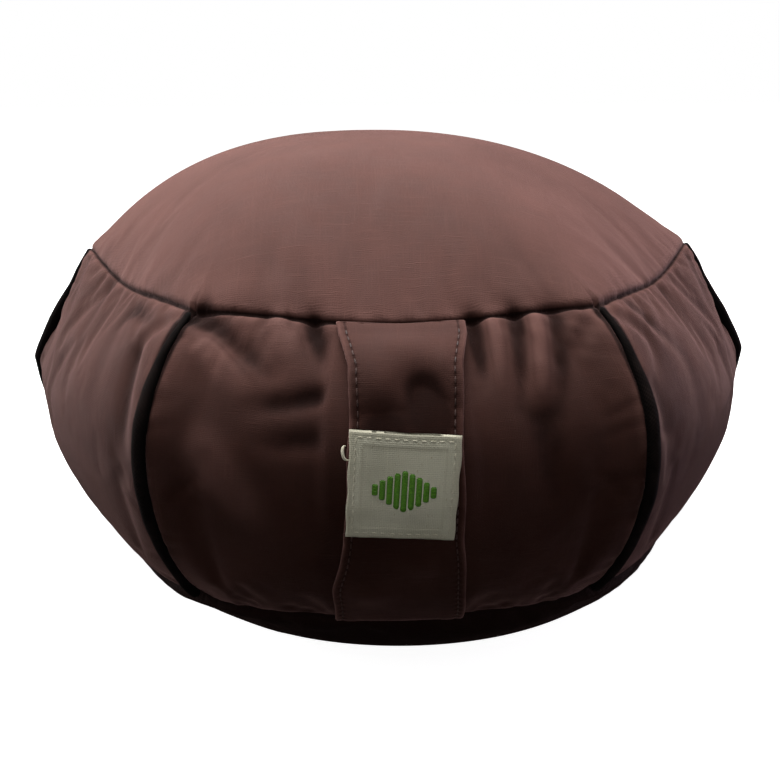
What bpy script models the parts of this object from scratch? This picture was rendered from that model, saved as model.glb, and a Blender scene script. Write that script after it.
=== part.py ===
"""Panelled floor cushion: one filled body, six corded seams, a carry strap and a cloth label.

Metres, +Z up. The cushion stands on z = 0 around the Z axis, and its front, with the strap, faces -Y.

A place on the cover has two numbers. The azimuth is its turn about Z from the front, in radians,
growing towards +X, as if all six panels were alike. The drop says how far down the cover it is: -1 in
the middle of the crown, 0 at the top seam, 1 at the bottom seam and 2 where the cover meets the floor.
"""

import math

import bmesh
import bpy
import numpy as np

# The cushion's main sizes. Radii are measured at the corded seams, the corners of each ring.
PANELS = 6
WIDE_RADIUS = 0.190
WIDE_HEIGHT = 0.097
TOP_SEAM_RADIUS = 0.1545
TOP_SEAM_HEIGHT = 0.1540
CROWN_RISE = 0.0540
BOTTOM_SEAM_RADIUS = 0.1675
BOTTOM_SEAM_HEIGHT = 0.0310
FOOT_RADIUS = 0.140

# How the curves bend: 1 is a straight line, and more keeps the fullness further out.
CROWN_POWER = 2.61
UPPER_POWER = 2.63
SIDE_UPPER_POWER = 1.12
LOWER_POWER = 1.95
UNDER_POWER = 1.40

# How round a ring is between the corded seams: 0 is a hexagon and 1 is a circle.
WALL_BOW = 0.63
TOP_BOW = 0.41
FOOT_BOW = 0.92

# The filling has settled to one side: how far the crown and the foot lie off the middle, along X.
CROWN_LEAN = -0.0120
FOOT_LEAN = 0.0066

# The top seam hangs lower in the middle of each panel, and the cover near it goes along.
SEAM_SAG = 0.0040
SEAM_SAG_SPAN = 0.35

# How far forward the two side seams sit of a regular six-panel cut.
SIDE_SEAM_SHIFT = math.radians(6.5)

# How fast the rings lose their corners away from the side wall.
CROWN_ROUNDING = 3.0
CROWN_CORNER_POWER = 10.0
UNDER_CORNER_POWER = 2.0

# Seams. The clearance is left round a cord, whose facets and groove then stay 0.3 mm apart.
CLEARANCE = 0.00068
SEAM_DEPTH = 0.0022
SEAM_REACH = 0.0035
SEAM_DRAW = 0.0025
SEAM_DRAW_REACH = 0.0110

# The piping cord, thinner where it goes into the top and bottom seams.
CORD_RADIUS = 0.0028
CORD_END_SHARE = 0.50
CORD_FOOT_SHARE = 0.80
CORD_FULL_AT = 0.30
CORD_LIFT = 0.0009
CORD_ENDS = (0.014, 0.982)
CORD_SIDES_SHARE = math.cos(math.pi / 8)

# The carry strap: across is measured from the front's middle, and down from the top seam.
STRAP_THICKNESS = 0.0020
STRAP_CLEARANCE = 0.0006
STRAP_END_GAP = 0.0035
STRAP_ROWS = 26
STRAP_COLUMNS = 8
STRAP_SLACK = 0.0026
STRAP_SLACK_SPAN = (0.002, 0.042)
# down, left edge, right edge
STRAP_EDGES = (
    (0.000, -0.0225, 0.0252),
    (0.008, -0.0215, 0.0252),
    (0.022, -0.0172, 0.0230),
    (0.042, -0.0170, 0.0224),
    (0.085, -0.0200, 0.0232),
    (0.110, -0.0245, 0.0256),
    (0.140, -0.0252, 0.0262),
)
# across, down, half width, half height, rise
STRAP_RUMPLES = (
    (0.0075, 0.0310, 0.0080, 0.0080, -0.0030),
    (-0.0065, 0.0300, 0.0060, 0.0100, 0.0014),
    (-0.0080, 0.0400, 0.0070, 0.0040, -0.0016),
    (0.0020, 0.0130, 0.0150, 0.0070, 0.0012),
    (0.0080, 0.0950, 0.0060, 0.0060, 0.0012),
    (-0.0110, 0.1120, 0.0070, 0.0080, 0.0014),
)

# The cloth label, sewn over the strap and turned a little.
LABEL_WIDTH = 0.0379
LABEL_HEIGHT = 0.0368
LABEL_THICKNESS = 0.0010
LABEL_CLEARANCE = 0.0008
LABEL_ACROSS = 0.0012
LABEL_DOWN = 0.0625
LABEL_TURN = math.radians(-3.7)
LABEL_STEPS = 7

# How finely the cover is stepped.
COLUMNS_BY_PANEL = (18, 14, 8, 8, 8, 14)
SEAM_COLUMN_TURNS = (0.0, math.radians(0.72), math.radians(1.15), math.radians(2.8))
CROWN_RINGS = (0.14, 0.28, 0.42, 0.55, 0.67, 0.78, 0.87, 0.94)
WALL_RINGS = (0.08, 0.14, 0.21, 0.28, 0.35, 0.42, 0.49, 0.56, 0.63, 0.70, 0.77, 0.84, 0.91)
UNDER_RINGS = (1.40, 1.70, 1.90, 2.0)

# Creases in the cover. Each is a soft furrow from one place to another, and a negative depth is a
# ridge. Turns are degrees from the front, and downs are metres from the top seam, negative on the crown.
# turn from, down from, turn to, down to, half width, depth
FRONT_CREASES = (
    (-28.5, 0.001, -15.8, 0.024, 0.0055, 0.0034),
    (-25.0, 0.015, -18.0, 0.032, 0.0065, -0.0020),
    (-17.0, 0.003, -13.0, 0.017, 0.0060, -0.0014),
    (-12.0, 0.002, -9.4, 0.018, 0.0050, 0.0034),
    (-16.5, 0.036, -9.8, 0.030, 0.0050, 0.0026),
    (-15.5, 0.050, -9.5, 0.047, 0.0050, 0.0018),
    (-22.0, 0.054, -15.0, 0.084, 0.0100, -0.0016),
    (11.5, 0.002, 10.8, 0.026, 0.0050, 0.0036),
    (14.0, 0.002, 12.5, 0.027, 0.0045, -0.0016),
    (17.8, 0.001, 14.5, 0.037, 0.0050, 0.0030),
    (20.0, 0.004, 17.2, 0.036, 0.0050, -0.0018),
    (22.8, 0.004, 19.2, 0.040, 0.0055, 0.0026),
    (17.2, 0.043, 17.5, 0.076, 0.0080, 0.0022),
)
SIDE_CREASES = (
    (-46.0, 0.0085, -34.0, 0.0095, 0.0050, 0.0028),
    (-37.0, 0.026, -32.6, 0.074, 0.0065, 0.0028),
    (-48.0, 0.010, -45.0, 0.052, 0.0085, 0.0016),
    (-66.0, 0.004, -62.0, 0.034, 0.0065, 0.0020),
    (-84.0, 0.010, -76.0, 0.034, 0.0060, 0.0022),
    (38.5, 0.006, 45.0, 0.030, 0.0055, 0.0028),
    (33.0, 0.040, 34.6, 0.066, 0.0060, 0.0026),
    (47.0, 0.030, 45.0, 0.062, 0.0080, 0.0016),
    (58.0, 0.004, 60.0, 0.030, 0.0065, 0.0020),
    (83.0, 0.008, 75.0, 0.036, 0.0060, 0.0022),
)
BACK_CREASES = (
    (97.0, 0.006, 106.0, 0.032, 0.0065, 0.0024),
    (122.0, 0.004, 119.0, 0.040, 0.0080, 0.0020),
    (143.0, 0.008, 136.0, 0.036, 0.0065, 0.0022),
    (157.0, 0.006, 165.0, 0.030, 0.0065, 0.0024),
    (184.0, 0.004, 181.0, 0.036, 0.0080, 0.0020),
    (203.0, 0.008, 195.0, 0.038, 0.0065, 0.0022),
    (218.0, 0.006, 226.0, 0.034, 0.0065, 0.0024),
    (238.0, 0.004, 241.0, 0.032, 0.0080, 0.0018),
    (262.0, 0.008, 255.0, 0.036, 0.0065, 0.0022),
)
CROWN_CREASES = (
    (-21.0, -0.004, -19.0, -0.042, 0.0060, 0.0014),
    (-14.0, -0.003, -13.5, -0.034, 0.0055, 0.0012),
    (-39.0, -0.004, -36.0, -0.036, 0.0060, 0.0014),
    (9.0, -0.003, 10.0, -0.030, 0.0055, 0.0010),
    (24.0, -0.004, 22.0, -0.036, 0.0060, 0.0012),
    (52.0, -0.004, 49.0, -0.034, 0.0065, 0.0012),
    (-75.0, -0.004, -71.0, -0.036, 0.0065, 0.0012),
    (110.0, -0.004, 113.0, -0.038, 0.0070, 0.0014),
    (172.0, -0.004, 169.0, -0.036, 0.0070, 0.0014),
    (236.0, -0.004, 239.0, -0.034, 0.0070, 0.0012),
)
CREASES = FRONT_CREASES + SIDE_CREASES + BACK_CREASES + CROWN_CREASES
UNROLL_RADIUS = 0.182
CREASE_FREE_ACROSS = (0.025, 0.031)

# Colours as the cloth shows them, linear, with roughness.
BROWN = (0.115, 0.062, 0.055, 1.0)
BLACK = (0.006, 0.005, 0.005, 1.0)
CREAM = (0.48, 0.45, 0.35, 1.0)
COTTON_ROUGHNESS = 0.85
CORD_ROUGHNESS = 0.60

PANEL_TURN = 2 * math.pi / PANELS
LONG_WAY_ROUND = 2 * math.pi
SLOPE_STEP = 0.0005


def smooth_step(low, high, value):
    """Rises from 0 at low to 1 at high with level ends."""
    share = np.clip((value - low) / (high - low), 0.0, 1.0)
    return share * share * (3 - 2 * share)


def turn_in_panel(azimuth):
    """The turn from the middle of the panel that holds an azimuth."""
    return (azimuth + PANEL_TURN / 2) % PANEL_TURN - PANEL_TURN / 2


def side_share(azimuth):
    """How near a place is to a side seam: 1 on it, and 0 across the front and back panels."""
    return np.clip(2 * np.abs(np.sin(azimuth)) - 1, 0.0, 1.0) ** 2


def true_azimuth(azimuth):
    """The real azimuth of an even one: the side seams move forward, and the front and back stay."""
    return azimuth - SIDE_SEAM_SHIFT * side_share(azimuth) * np.sign(np.sin(azimuth))


def meridian(azimuth, drop):
    """Radius at the rings' corners, height and bow, for each place."""
    inward = np.clip(1 + drop, 0.0, 1.0)
    height = TOP_SEAM_HEIGHT + (BOTTOM_SEAM_HEIGHT - TOP_SEAM_HEIGHT) * np.clip(drop, 0.0, 1.0)
    above = np.clip((height - WIDE_HEIGHT) / (TOP_SEAM_HEIGHT - WIDE_HEIGHT), 0.0, 1.0)
    below = np.clip((WIDE_HEIGHT - height) / (WIDE_HEIGHT - BOTTOM_SEAM_HEIGHT), 0.0, 1.0)
    power = UPPER_POWER + (SIDE_UPPER_POWER - UPPER_POWER) * side_share(azimuth)
    wall = WIDE_RADIUS - (WIDE_RADIUS - TOP_SEAM_RADIUS) * above**power
    wall = wall - (WIDE_RADIUS - BOTTOM_SEAM_RADIUS) * below**LOWER_POWER
    tuck = np.clip(drop - 1, 0.0, 1.0)
    under = BOTTOM_SEAM_RADIUS - (BOTTOM_SEAM_RADIUS - FOOT_RADIUS) * tuck**UNDER_POWER
    on_crown = drop < 0
    on_under = drop > 1
    radius = np.where(on_crown, TOP_SEAM_RADIUS * inward, np.where(on_under, under, wall))
    height = np.where(on_crown, height + CROWN_RISE * (1 - inward**CROWN_POWER), height)
    height = np.where(on_under, BOTTOM_SEAM_HEIGHT * (1 - tuck), height)
    bow = WALL_BOW + (TOP_BOW - WALL_BOW) * above
    bow = np.where(on_crown, 1 - (1 - TOP_BOW) * inward**CROWN_ROUNDING, bow)
    bow = np.where(on_under, WALL_BOW + (FOOT_BOW - WALL_BOW) * tuck, bow)
    return radius, height, bow


def corner_share(drop):
    """How sharp the rings' corners are: 1 on the wall, less towards the crown and the foot."""
    inward = np.clip(1 + drop, 0.0, 1.0)
    tuck = np.clip(drop - 1, 0.0, 1.0)
    return inward**CROWN_CORNER_POWER * (1 - tuck) ** UNDER_CORNER_POWER


def plain_cover(azimuth, drop):
    """Points of the cover before seams and creases: a ring at each height, bowed between corners."""
    radius, height, bow = meridian(azimuth, drop)
    turn = turn_in_panel(azimuth)
    narrow = math.cos(PANEL_TURN / 2)
    hexagon = narrow / np.cos(turn)
    soft_hexagon = (1 + narrow) / 2 - (1 - narrow) / 2 * np.cos(PANELS * turn)
    sharp = corner_share(drop)
    hexagon = sharp * hexagon + (1 - sharp) * soft_hexagon
    radius = radius * (bow + (1 - bow) * hexagon)
    height = height - SEAM_SAG * (1 + np.cos(PANELS * turn)) / 2 * np.exp(-((drop / SEAM_SAG_SPAN) ** 2))
    true = true_azimuth(azimuth)
    lean = CROWN_LEAN * (1 - np.clip(1 + drop, 0.0, 1.0) ** 2) + FOOT_LEAN * np.clip(drop - 1, 0.0, 1.0)
    return np.stack([radius * np.sin(true) + lean, -radius * np.cos(true), height], axis=-1)


def cover_normals(azimuth, drop):
    """Outward directions: the cross product of the slopes round and down the plain cover."""
    panel_middle = azimuth - turn_in_panel(azimuth)
    inside = np.clip(turn_in_panel(azimuth), SLOPE_STEP - PANEL_TURN / 2, PANEL_TURN / 2 - SLOPE_STEP)
    at_seam = PANEL_TURN / 2 - np.abs(turn_in_panel(azimuth)) < SLOPE_STEP
    turn = panel_middle + inside
    around = plain_cover(turn + SLOPE_STEP / 2, drop) - plain_cover(turn - SLOPE_STEP / 2, drop)
    true = true_azimuth(azimuth)
    straight = np.stack([np.cos(true), np.sin(true), np.zeros_like(true)], axis=-1)
    around = np.where(at_seam[..., None], straight, around)
    side = np.where(drop <= 0, -SLOPE_STEP, SLOPE_STEP)
    start = np.where(drop >= 2, drop - SLOPE_STEP, drop)
    down = plain_cover(azimuth, start + side) - plain_cover(azimuth, start)
    down = down * np.sign(side)[..., None]
    normal = np.cross(down, around)
    return normal / np.linalg.norm(normal, axis=-1, keepdims=True)


def length_table(low, high):
    """Drops between two ends, and the length of cover from the first to each, at the front."""
    drops = np.linspace(low, high, 400)
    points = plain_cover(np.zeros_like(drops), drops)
    steps = np.linalg.norm(np.diff(points, axis=0), axis=1)
    return drops, np.concatenate([[0.0], np.cumsum(steps)])


WALL_DROPS, WALL_LENGTHS = length_table(0.0, 1.0)
WALL_LENGTH = float(WALL_LENGTHS[-1])
CROWN_LENGTH = float(length_table(-1.0, 0.0)[1][-1])
UNDER_LENGTH = float(length_table(1.0, 2.0)[1][-1])


def down_at(drop):
    """Metres of cover from the top seam: negative on the crown."""
    on_wall = np.interp(drop, WALL_DROPS, WALL_LENGTHS)
    past = np.where(drop < 0, drop * CROWN_LENGTH, np.clip(drop - 1, 0.0, None) * UNDER_LENGTH)
    return on_wall + past


def drop_at(down):
    """The drop on the wall that is some metres of cover below the top seam."""
    return np.interp(down, WALL_LENGTHS, WALL_DROPS)


def cord_share(drop):
    """The cord's radius over its full radius: less at both ends."""
    head = CORD_END_SHARE + (1 - CORD_END_SHARE) * smooth_step(0.0, CORD_FULL_AT, drop)
    foot = CORD_FOOT_SHARE + (1 - CORD_FOOT_SHARE) * smooth_step(0.0, CORD_FULL_AT, 1 - drop)
    return np.minimum(head, foot)


def corded_seams(azimuth, drop):
    """Depth at the corded seams: a soft drawing-in, with a round groove for the cord."""
    radius = meridian(azimuth, drop)[0]
    aside = (PANEL_TURN / 2 - np.abs(turn_in_panel(azimuth))) * radius
    draw = SEAM_DRAW * np.exp(-((aside / SEAM_DRAW_REACH) ** 2))
    groove_radius = (CORD_RADIUS * cord_share(drop) + CLEARANCE) / CORD_SIDES_SHARE
    groove = np.sqrt(np.clip(groove_radius**2 - aside**2, 0.0, None))
    groove = np.clip(groove - CORD_LIFT, 0.0, None)
    on_wall = smooth_step(-0.03, 0.0, drop) * smooth_step(1.10, 1.0, drop)
    return (draw + groove) * on_wall


def round_seams(drop):
    """Depth at the top and bottom seams: a narrow furrow all the way round."""
    down = down_at(drop)
    top = np.exp(-((down / SEAM_REACH) ** 2))
    bottom = np.exp(-(((down - WALL_LENGTH) / SEAM_REACH) ** 2))
    return SEAM_DEPTH * (top + bottom)


def creases(azimuth, drop):
    """Depth of the creases: each falls off as a bell curve from a line on the unrolled cover."""
    down = down_at(drop)
    depth = np.zeros_like(down)
    for turn_from, down_from, turn_to, down_to, half_width, deep in CREASES:
        turn = (azimuth - math.radians(turn_from) + math.pi) % LONG_WAY_ROUND - math.pi
        across = turn * UNROLL_RADIUS
        run = math.radians(turn_to - turn_from) * UNROLL_RADIUS
        fall = down_to - down_from
        along = (across * run + (down - down_from) * fall) / (run**2 + fall**2)
        along = np.clip(along, 0.0, 1.0)
        apart = np.hypot(across - along * run, down - down_from - along * fall)
        depth = depth + deep * np.exp(-((apart / half_width) ** 2))
    front = (azimuth + math.pi) % LONG_WAY_ROUND - math.pi
    beside_strap = smooth_step(*CREASE_FREE_ACROSS, np.abs(front) * UNROLL_RADIUS)
    behind_strap = smooth_step(-0.04, 0.0, drop) * smooth_step(1.04, 1.0, drop)
    clear_of_foot = smooth_step(1.8, 1.2, drop)
    return depth * (1 - behind_strap * (1 - beside_strap)) * clear_of_foot


def cover(azimuth, drop, lift=0.0):
    """Points of the finished cover, or of what lies a lift above the plain one."""
    azimuth, drop = np.broadcast_arrays(np.asarray(azimuth, float), np.asarray(drop, float))
    return plain_cover(azimuth, drop) + cover_normals(azimuth, drop) * np.asarray(lift)[..., None]


def make_material(name, colour, roughness):
    """A plain cloth finish."""
    material = bpy.data.materials.new(name)
    material.use_nodes = True
    shader = material.node_tree.nodes["Principled BSDF"]
    shader.inputs["Base Color"].default_value = colour
    shader.inputs["Roughness"].default_value = roughness
    shader.inputs["Metallic"].default_value = 0.0
    material.diffuse_color = colour
    return material


def add_object(name, data, material):
    """Places an object that holds the data, with its finish."""
    thing = bpy.data.objects.new(name, data)
    data.materials.append(material)
    bpy.context.scene.collection.objects.link(thing)
    return thing


def panel_columns():
    """Azimuths round the cover: close together at each corded seam and even between them."""
    azimuths = []
    for panel, steps in enumerate(COLUMNS_BY_PANEL):
        start = panel * PANEL_TURN - PANEL_TURN / 2
        end = start + PANEL_TURN
        inset = SEAM_COLUMN_TURNS[-1]
        azimuths += [start + turn for turn in SEAM_COLUMN_TURNS[:-1]]
        azimuths += list(np.linspace(start + inset, end - inset, steps + 1))
        azimuths += [end - turn for turn in reversed(SEAM_COLUMN_TURNS[1:-1])]
    return np.array(azimuths)


def cover_drops():
    """Drops of the rings, with a shoulder on each side of both round seams."""
    shoulder = 1.6 * SEAM_REACH
    crown = [share - 1 for share in CROWN_RINGS]
    top = [-shoulder / CROWN_LENGTH, 0.0, shoulder / WALL_LENGTH]
    bottom = [1 - shoulder / WALL_LENGTH, 1.0, 1 + shoulder / UNDER_LENGTH]
    return np.array(crown + top + list(WALL_RINGS) + bottom + list(UNDER_RINGS))


def build_cushion(material):
    """The filled body: rings from the crown to the foot, bridged, with one flat face on the floor."""
    azimuths, drops = np.meshgrid(panel_columns(), cover_drops())
    depth = corded_seams(azimuths, drops) + round_seams(drops) + creases(azimuths, drops)
    depth = np.where(drops >= 2, 0.0, depth)
    points = cover(azimuths, drops, -depth)
    points[-1, :, 2] = 0.0
    shape = bmesh.new()
    rings = [[shape.verts.new(point) for point in ring] for ring in points]
    count = len(rings[0])
    pole = shape.verts.new((CROWN_LEAN, 0.0, TOP_SEAM_HEIGHT + CROWN_RISE))
    for k in range(count):
        beside = (k + 1) % count
        shape.faces.new((pole, rings[0][k], rings[0][beside]))
        for upper, lower in zip(rings, rings[1:]):
            shape.faces.new((upper[k], lower[k], lower[beside], upper[beside]))
    shape.faces.new(list(reversed(rings[-1])))
    mesh = bpy.data.meshes.new("cushion")
    shape.to_mesh(mesh)
    shape.free()
    mesh.shade_smooth()
    mesh.set_sharp_from_angle(angle=math.radians(50))
    return add_object("cushion", mesh, material)


def build_cord(name, azimuth, material):
    """One length of piping, in its groove from the top seam to the bottom one."""
    drops = np.array([CORD_ENDS[0], *WALL_RINGS, CORD_ENDS[1]])
    points = cover(np.full_like(drops, azimuth), drops, np.full_like(drops, CORD_LIFT - SEAM_DRAW))
    curve = bpy.data.curves.new(name, "CURVE")
    curve.dimensions = "3D"
    curve.bevel_depth = CORD_RADIUS
    curve.bevel_resolution = 2
    curve.use_fill_caps = True
    spline = curve.splines.new("POLY")
    spline.points.add(len(points) - 1)
    for knot, point, share in zip(spline.points, points, cord_share(drops)):
        knot.co = (*point, 1.0)
        knot.radius = share
    spline.use_smooth = True
    return add_object(name, curve, material)


def strap_rise(across, down):
    """How far the strap stands off the cover: its slack above the label, and its rumples."""
    top, low = STRAP_SLACK_SPAN
    share = np.clip((down - top) / (low - top), 0.0, 1.0)
    rise = STRAP_SLACK * np.sin(math.pi * share) ** 2
    for middle, deep, half_width, half_height, height in STRAP_RUMPLES:
        apart = ((across - middle) / half_width) ** 2 + ((down - deep) / half_height) ** 2
        rise = rise + height * np.exp(-apart)
    return np.clip(rise, 0.0, None)


def place_on_front(across, down, lift):
    """Points some lift above the cover, across from the front's middle and down from the top seam."""
    drop = drop_at(down)
    radius = -plain_cover(np.zeros_like(drop), drop)[..., 1]
    return cover(across / radius, drop, lift)


def closed_sheet(name, inner, outer, material):
    """A closed sheet between two grids of points, each row running across and the rows going down."""
    rows, columns = inner.shape[:2]
    points = np.concatenate([outer.reshape(-1, 3), inner.reshape(-1, 3)])
    under = rows * columns
    faces = []
    for row in range(rows - 1):
        for column in range(columns - 1):
            a = row * columns + column
            corners = (a, a + columns, a + columns + 1, a + 1)
            faces.append(corners)
            faces.append(tuple(under + corner for corner in reversed(corners)))
    left = [row * columns for row in range(rows)]
    bottom = [(rows - 1) * columns + column for column in range(columns)]
    right = [row * columns + columns - 1 for row in reversed(range(rows))]
    top = list(reversed(range(columns)))
    edge = left + bottom[1:] + right[1:] + top[1:-1]
    for a, b in zip(edge, edge[1:] + edge[:1]):
        faces.append((b, a, a + under, b + under))
    mesh = bpy.data.meshes.new(name)
    mesh.from_pydata(points.tolist(), [], faces)
    mesh.shade_smooth()
    mesh.set_sharp_from_angle(angle=math.radians(40))
    return add_object(name, mesh, material)


def build_strap(material):
    """The carry strap: sewn in at the top and bottom seams, with its slack rumpled above the label."""
    downs = np.linspace(STRAP_END_GAP, WALL_LENGTH - STRAP_END_GAP, STRAP_ROWS)
    edge_downs, lefts, rights = np.array(STRAP_EDGES).T
    left = np.interp(downs, edge_downs, lefts)[:, None]
    right = np.interp(downs, edge_downs, rights)[:, None]
    shares = np.linspace(0.0, 1.0, STRAP_COLUMNS)[None, :]
    across = left + (right - left) * shares
    down = np.broadcast_to(downs[:, None], across.shape)
    rise = STRAP_CLEARANCE + strap_rise(across, down)
    inner = place_on_front(across, down, rise)
    outer = place_on_front(across, down, rise + STRAP_THICKNESS)
    return closed_sheet("carry_strap", inner, outer, material)


def build_label(material):
    """The cloth label: a small square lying on the strap, a few degrees out of true."""
    halves = np.linspace(-0.5, 0.5, LABEL_STEPS)
    aside, below = np.meshgrid(halves * LABEL_WIDTH, halves * LABEL_HEIGHT)
    across = LABEL_ACROSS + aside * math.cos(LABEL_TURN) + below * math.sin(LABEL_TURN)
    down = LABEL_DOWN - aside * math.sin(LABEL_TURN) + below * math.cos(LABEL_TURN)
    lift = STRAP_CLEARANCE + STRAP_THICKNESS + LABEL_CLEARANCE + strap_rise(across, down)
    inner = place_on_front(across, down, lift)
    outer = place_on_front(across, down, lift + LABEL_THICKNESS)
    return closed_sheet("label", inner, outer, material)


CORD_NAMES = (
    "piping_front_right",
    "piping_right",
    "piping_back_right",
    "piping_back_left",
    "piping_left",
    "piping_front_left",
)


def build_all():
    """Clears the scene and makes every piece."""
    for thing in list(bpy.data.objects):
        bpy.data.objects.remove(thing)
    brown = make_material("brown_cotton", BROWN, COTTON_ROUGHNESS)
    black = make_material("black_piping", BLACK, CORD_ROUGHNESS)
    cream = make_material("natural_cotton", CREAM, COTTON_ROUGHNESS)
    build_cushion(brown)
    for corner, name in enumerate(CORD_NAMES):
        build_cord(name, (corner + 0.5) * PANEL_TURN, black)
    build_strap(brown)
    build_label(cream)


build_all()
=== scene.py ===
"""Looks of a panelled floor cushion: cover, piping, carry strap and label, in metres, +Z up.

A place on the cover has two numbers. The azimuth is its turn about Z from the front, in radians,
growing towards +X, as if all six panels were alike. The drop says how far down the cover it is: -1 in
the middle of the crown, 0 at the top seam, 1 at the bottom seam and 2 at the foot's rim; from 2 to 3
it runs inwards on the floor. On the front, a place is also given as metres across from the middle
and metres down from the top seam.
"""

import math

import bpy
import numpy as np
from mathutils import Matrix, Vector


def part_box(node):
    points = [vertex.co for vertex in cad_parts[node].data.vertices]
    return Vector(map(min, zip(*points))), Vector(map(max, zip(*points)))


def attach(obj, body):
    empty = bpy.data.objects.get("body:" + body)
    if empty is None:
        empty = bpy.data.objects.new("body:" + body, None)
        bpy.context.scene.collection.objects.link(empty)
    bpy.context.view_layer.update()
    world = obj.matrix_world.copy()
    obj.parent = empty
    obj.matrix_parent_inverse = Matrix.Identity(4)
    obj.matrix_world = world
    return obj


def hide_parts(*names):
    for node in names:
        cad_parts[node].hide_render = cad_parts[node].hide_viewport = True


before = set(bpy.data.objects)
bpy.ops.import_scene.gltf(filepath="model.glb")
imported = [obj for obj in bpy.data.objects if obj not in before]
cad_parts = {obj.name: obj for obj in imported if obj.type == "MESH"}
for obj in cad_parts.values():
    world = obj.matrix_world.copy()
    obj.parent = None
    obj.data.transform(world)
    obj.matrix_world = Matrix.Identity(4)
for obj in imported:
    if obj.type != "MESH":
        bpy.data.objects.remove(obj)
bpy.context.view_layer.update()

# The cover's main sizes, as in the solids. Radii are measured at the rings' corners.
PANELS = 6
PANEL_TURN = 2 * math.pi / PANELS
CUSHION_LOW, CUSHION_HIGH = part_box("cushion")
WIDE_RADIUS = 0.190
WIDE_HEIGHT = 0.097
TOP_SEAM_RADIUS = 0.1545
TOP_SEAM_HEIGHT = 0.1540
CROWN_RISE = CUSHION_HIGH.z - TOP_SEAM_HEIGHT
BOTTOM_SEAM_RADIUS = 0.1675
BOTTOM_SEAM_HEIGHT = 0.0310
FOOT_RADIUS = 0.140
CROWN_POWER = 2.61
UPPER_POWER = 2.63
SIDE_UPPER_POWER = 1.12
LOWER_POWER = 1.95
UNDER_POWER = 1.40
WALL_BOW = 0.63
TOP_BOW = 0.41
FOOT_BOW = 0.92
CROWN_LEAN = -0.0120
FOOT_LEAN = 0.0066
SEAM_SAG = 0.0040
SEAM_SAG_SPAN = 0.35
SIDE_SEAM_SHIFT = math.radians(6.5)
CROWN_ROUNDING = 3.0
CROWN_CORNER_POWER = 10.0
UNDER_CORNER_POWER = 2.0
SLOPE_STEP = 0.0005

# Seams and cord.
SEAM_DEPTH = 0.0011
SEAM_REACH = 0.0011
SEAM_DRAW = 0.0025
SEAM_DRAW_REACH = 0.0110
SEAM_DRAW_FROM = 0.16
CORD_RADIUS = 0.0028
CORD_END_SHARE = 0.42
CORD_FOOT_SHARE = 0.80
CORD_FULL_AT = 0.30
CORD_LIFT = 0.0009
CORD_END_DIP = 0.0016
CORD_RISEN_AT = 0.10
CORD_ENDS = (0.006, 0.988)
CORD_GAP = 0.0003
CORD_RINGS = 170
CORD_SIDES = 18

# The filling's push on the cover, in the cloth simulation.
PANEL_STEPS = 44
CROWN_STEPS = 36
WALL_STEPS = 32
UNDER_STEPS = 10
FRAMES = 30
PRESSURE = 4.0
SPARE_CLOTH = 0.03
BENDING = 0.5
CROWN_INSET = 0.0080
WALL_INSET = 0.0052
UNDER_INSET = 0.0040
INSET_REACH = 0.024
MOVE_LIMIT = 0.0045
CROWN_PUSH = 0.30
WALL_PUSH = 0.75
STRAP_PUSH = 0.12

# The cover's final grid: columns between the seams by panel from the front, and rows.
PANEL_COLUMNS = (130, 84, 46, 46, 46, 84)
SEAM_COLUMNS = np.radians((0.0, 0.2, 0.4, 0.6, 0.78, 0.9, 1.0, 1.15, 1.4, 1.8, 2.4))
SEAM_ROWS = np.array((0.0, 0.00035, 0.0007, 0.0011, 0.0016, 0.0023, 0.0032))
CROWN_ROWS = 40
WALL_ROWS = 87
UNDER_ROWS = 10
FOOT_ROWS = 5

# Creases, each from one place to another; a negative depth is a ridge. Turns are degrees from the
# front, and downs are metres from the top seam, negative on the crown.
# turn from, down from, turn to, down to, half width, depth
FRONT_CREASES = (
    (-28.5, 0.0010, -15.8, 0.0240, 0.0045, 0.0027),
    (-25.0, 0.0150, -18.0, 0.0320, 0.0059, -0.0018),
    (-17.0, 0.0030, -13.0, 0.0170, 0.0054, -0.0013),
    (-12.0, 0.0020, -9.4, 0.0180, 0.0040, 0.0029),
    (-9.6, 0.0300, -17.0, 0.0365, 0.0042, 0.0026),
    (-9.3, 0.0465, -16.0, 0.0500, 0.0045, 0.0017),
    (-22.0, 0.0540, -15.0, 0.0840, 0.0090, -0.0013),
    (11.5, 0.0020, 10.8, 0.0260, 0.0040, 0.0031),
    (14.0, 0.0020, 12.5, 0.0270, 0.0040, -0.0014),
    (17.8, 0.0010, 14.5, 0.0370, 0.0040, 0.0026),
    (20.0, 0.0040, 17.2, 0.0360, 0.0045, -0.0016),
    (22.8, 0.0040, 19.2, 0.0400, 0.0045, 0.0022),
    (17.2, 0.0430, 17.5, 0.0760, 0.0072, 0.0018),
)
SIDE_CREASES = (
    (-46.0, 0.0085, -34.0, 0.0095, 0.0045, 0.0017),
    (-37.0, 0.0260, -32.6, 0.0740, 0.0060, 0.0017),
    (-48.0, 0.0100, -45.0, 0.0520, 0.0085, 0.0010),
    (-66.0, 0.0040, -62.0, 0.0340, 0.0065, 0.0012),
    (-84.0, 0.0100, -76.0, 0.0340, 0.0060, 0.0014),
    (38.5, 0.0060, 45.0, 0.0300, 0.0050, 0.0017),
    (33.0, 0.0400, 34.6, 0.0660, 0.0055, 0.0016),
    (47.0, 0.0300, 45.0, 0.0620, 0.0080, 0.0010),
    (58.0, 0.0040, 60.0, 0.0300, 0.0065, 0.0012),
    (83.0, 0.0080, 75.0, 0.0360, 0.0060, 0.0014),
)
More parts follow.
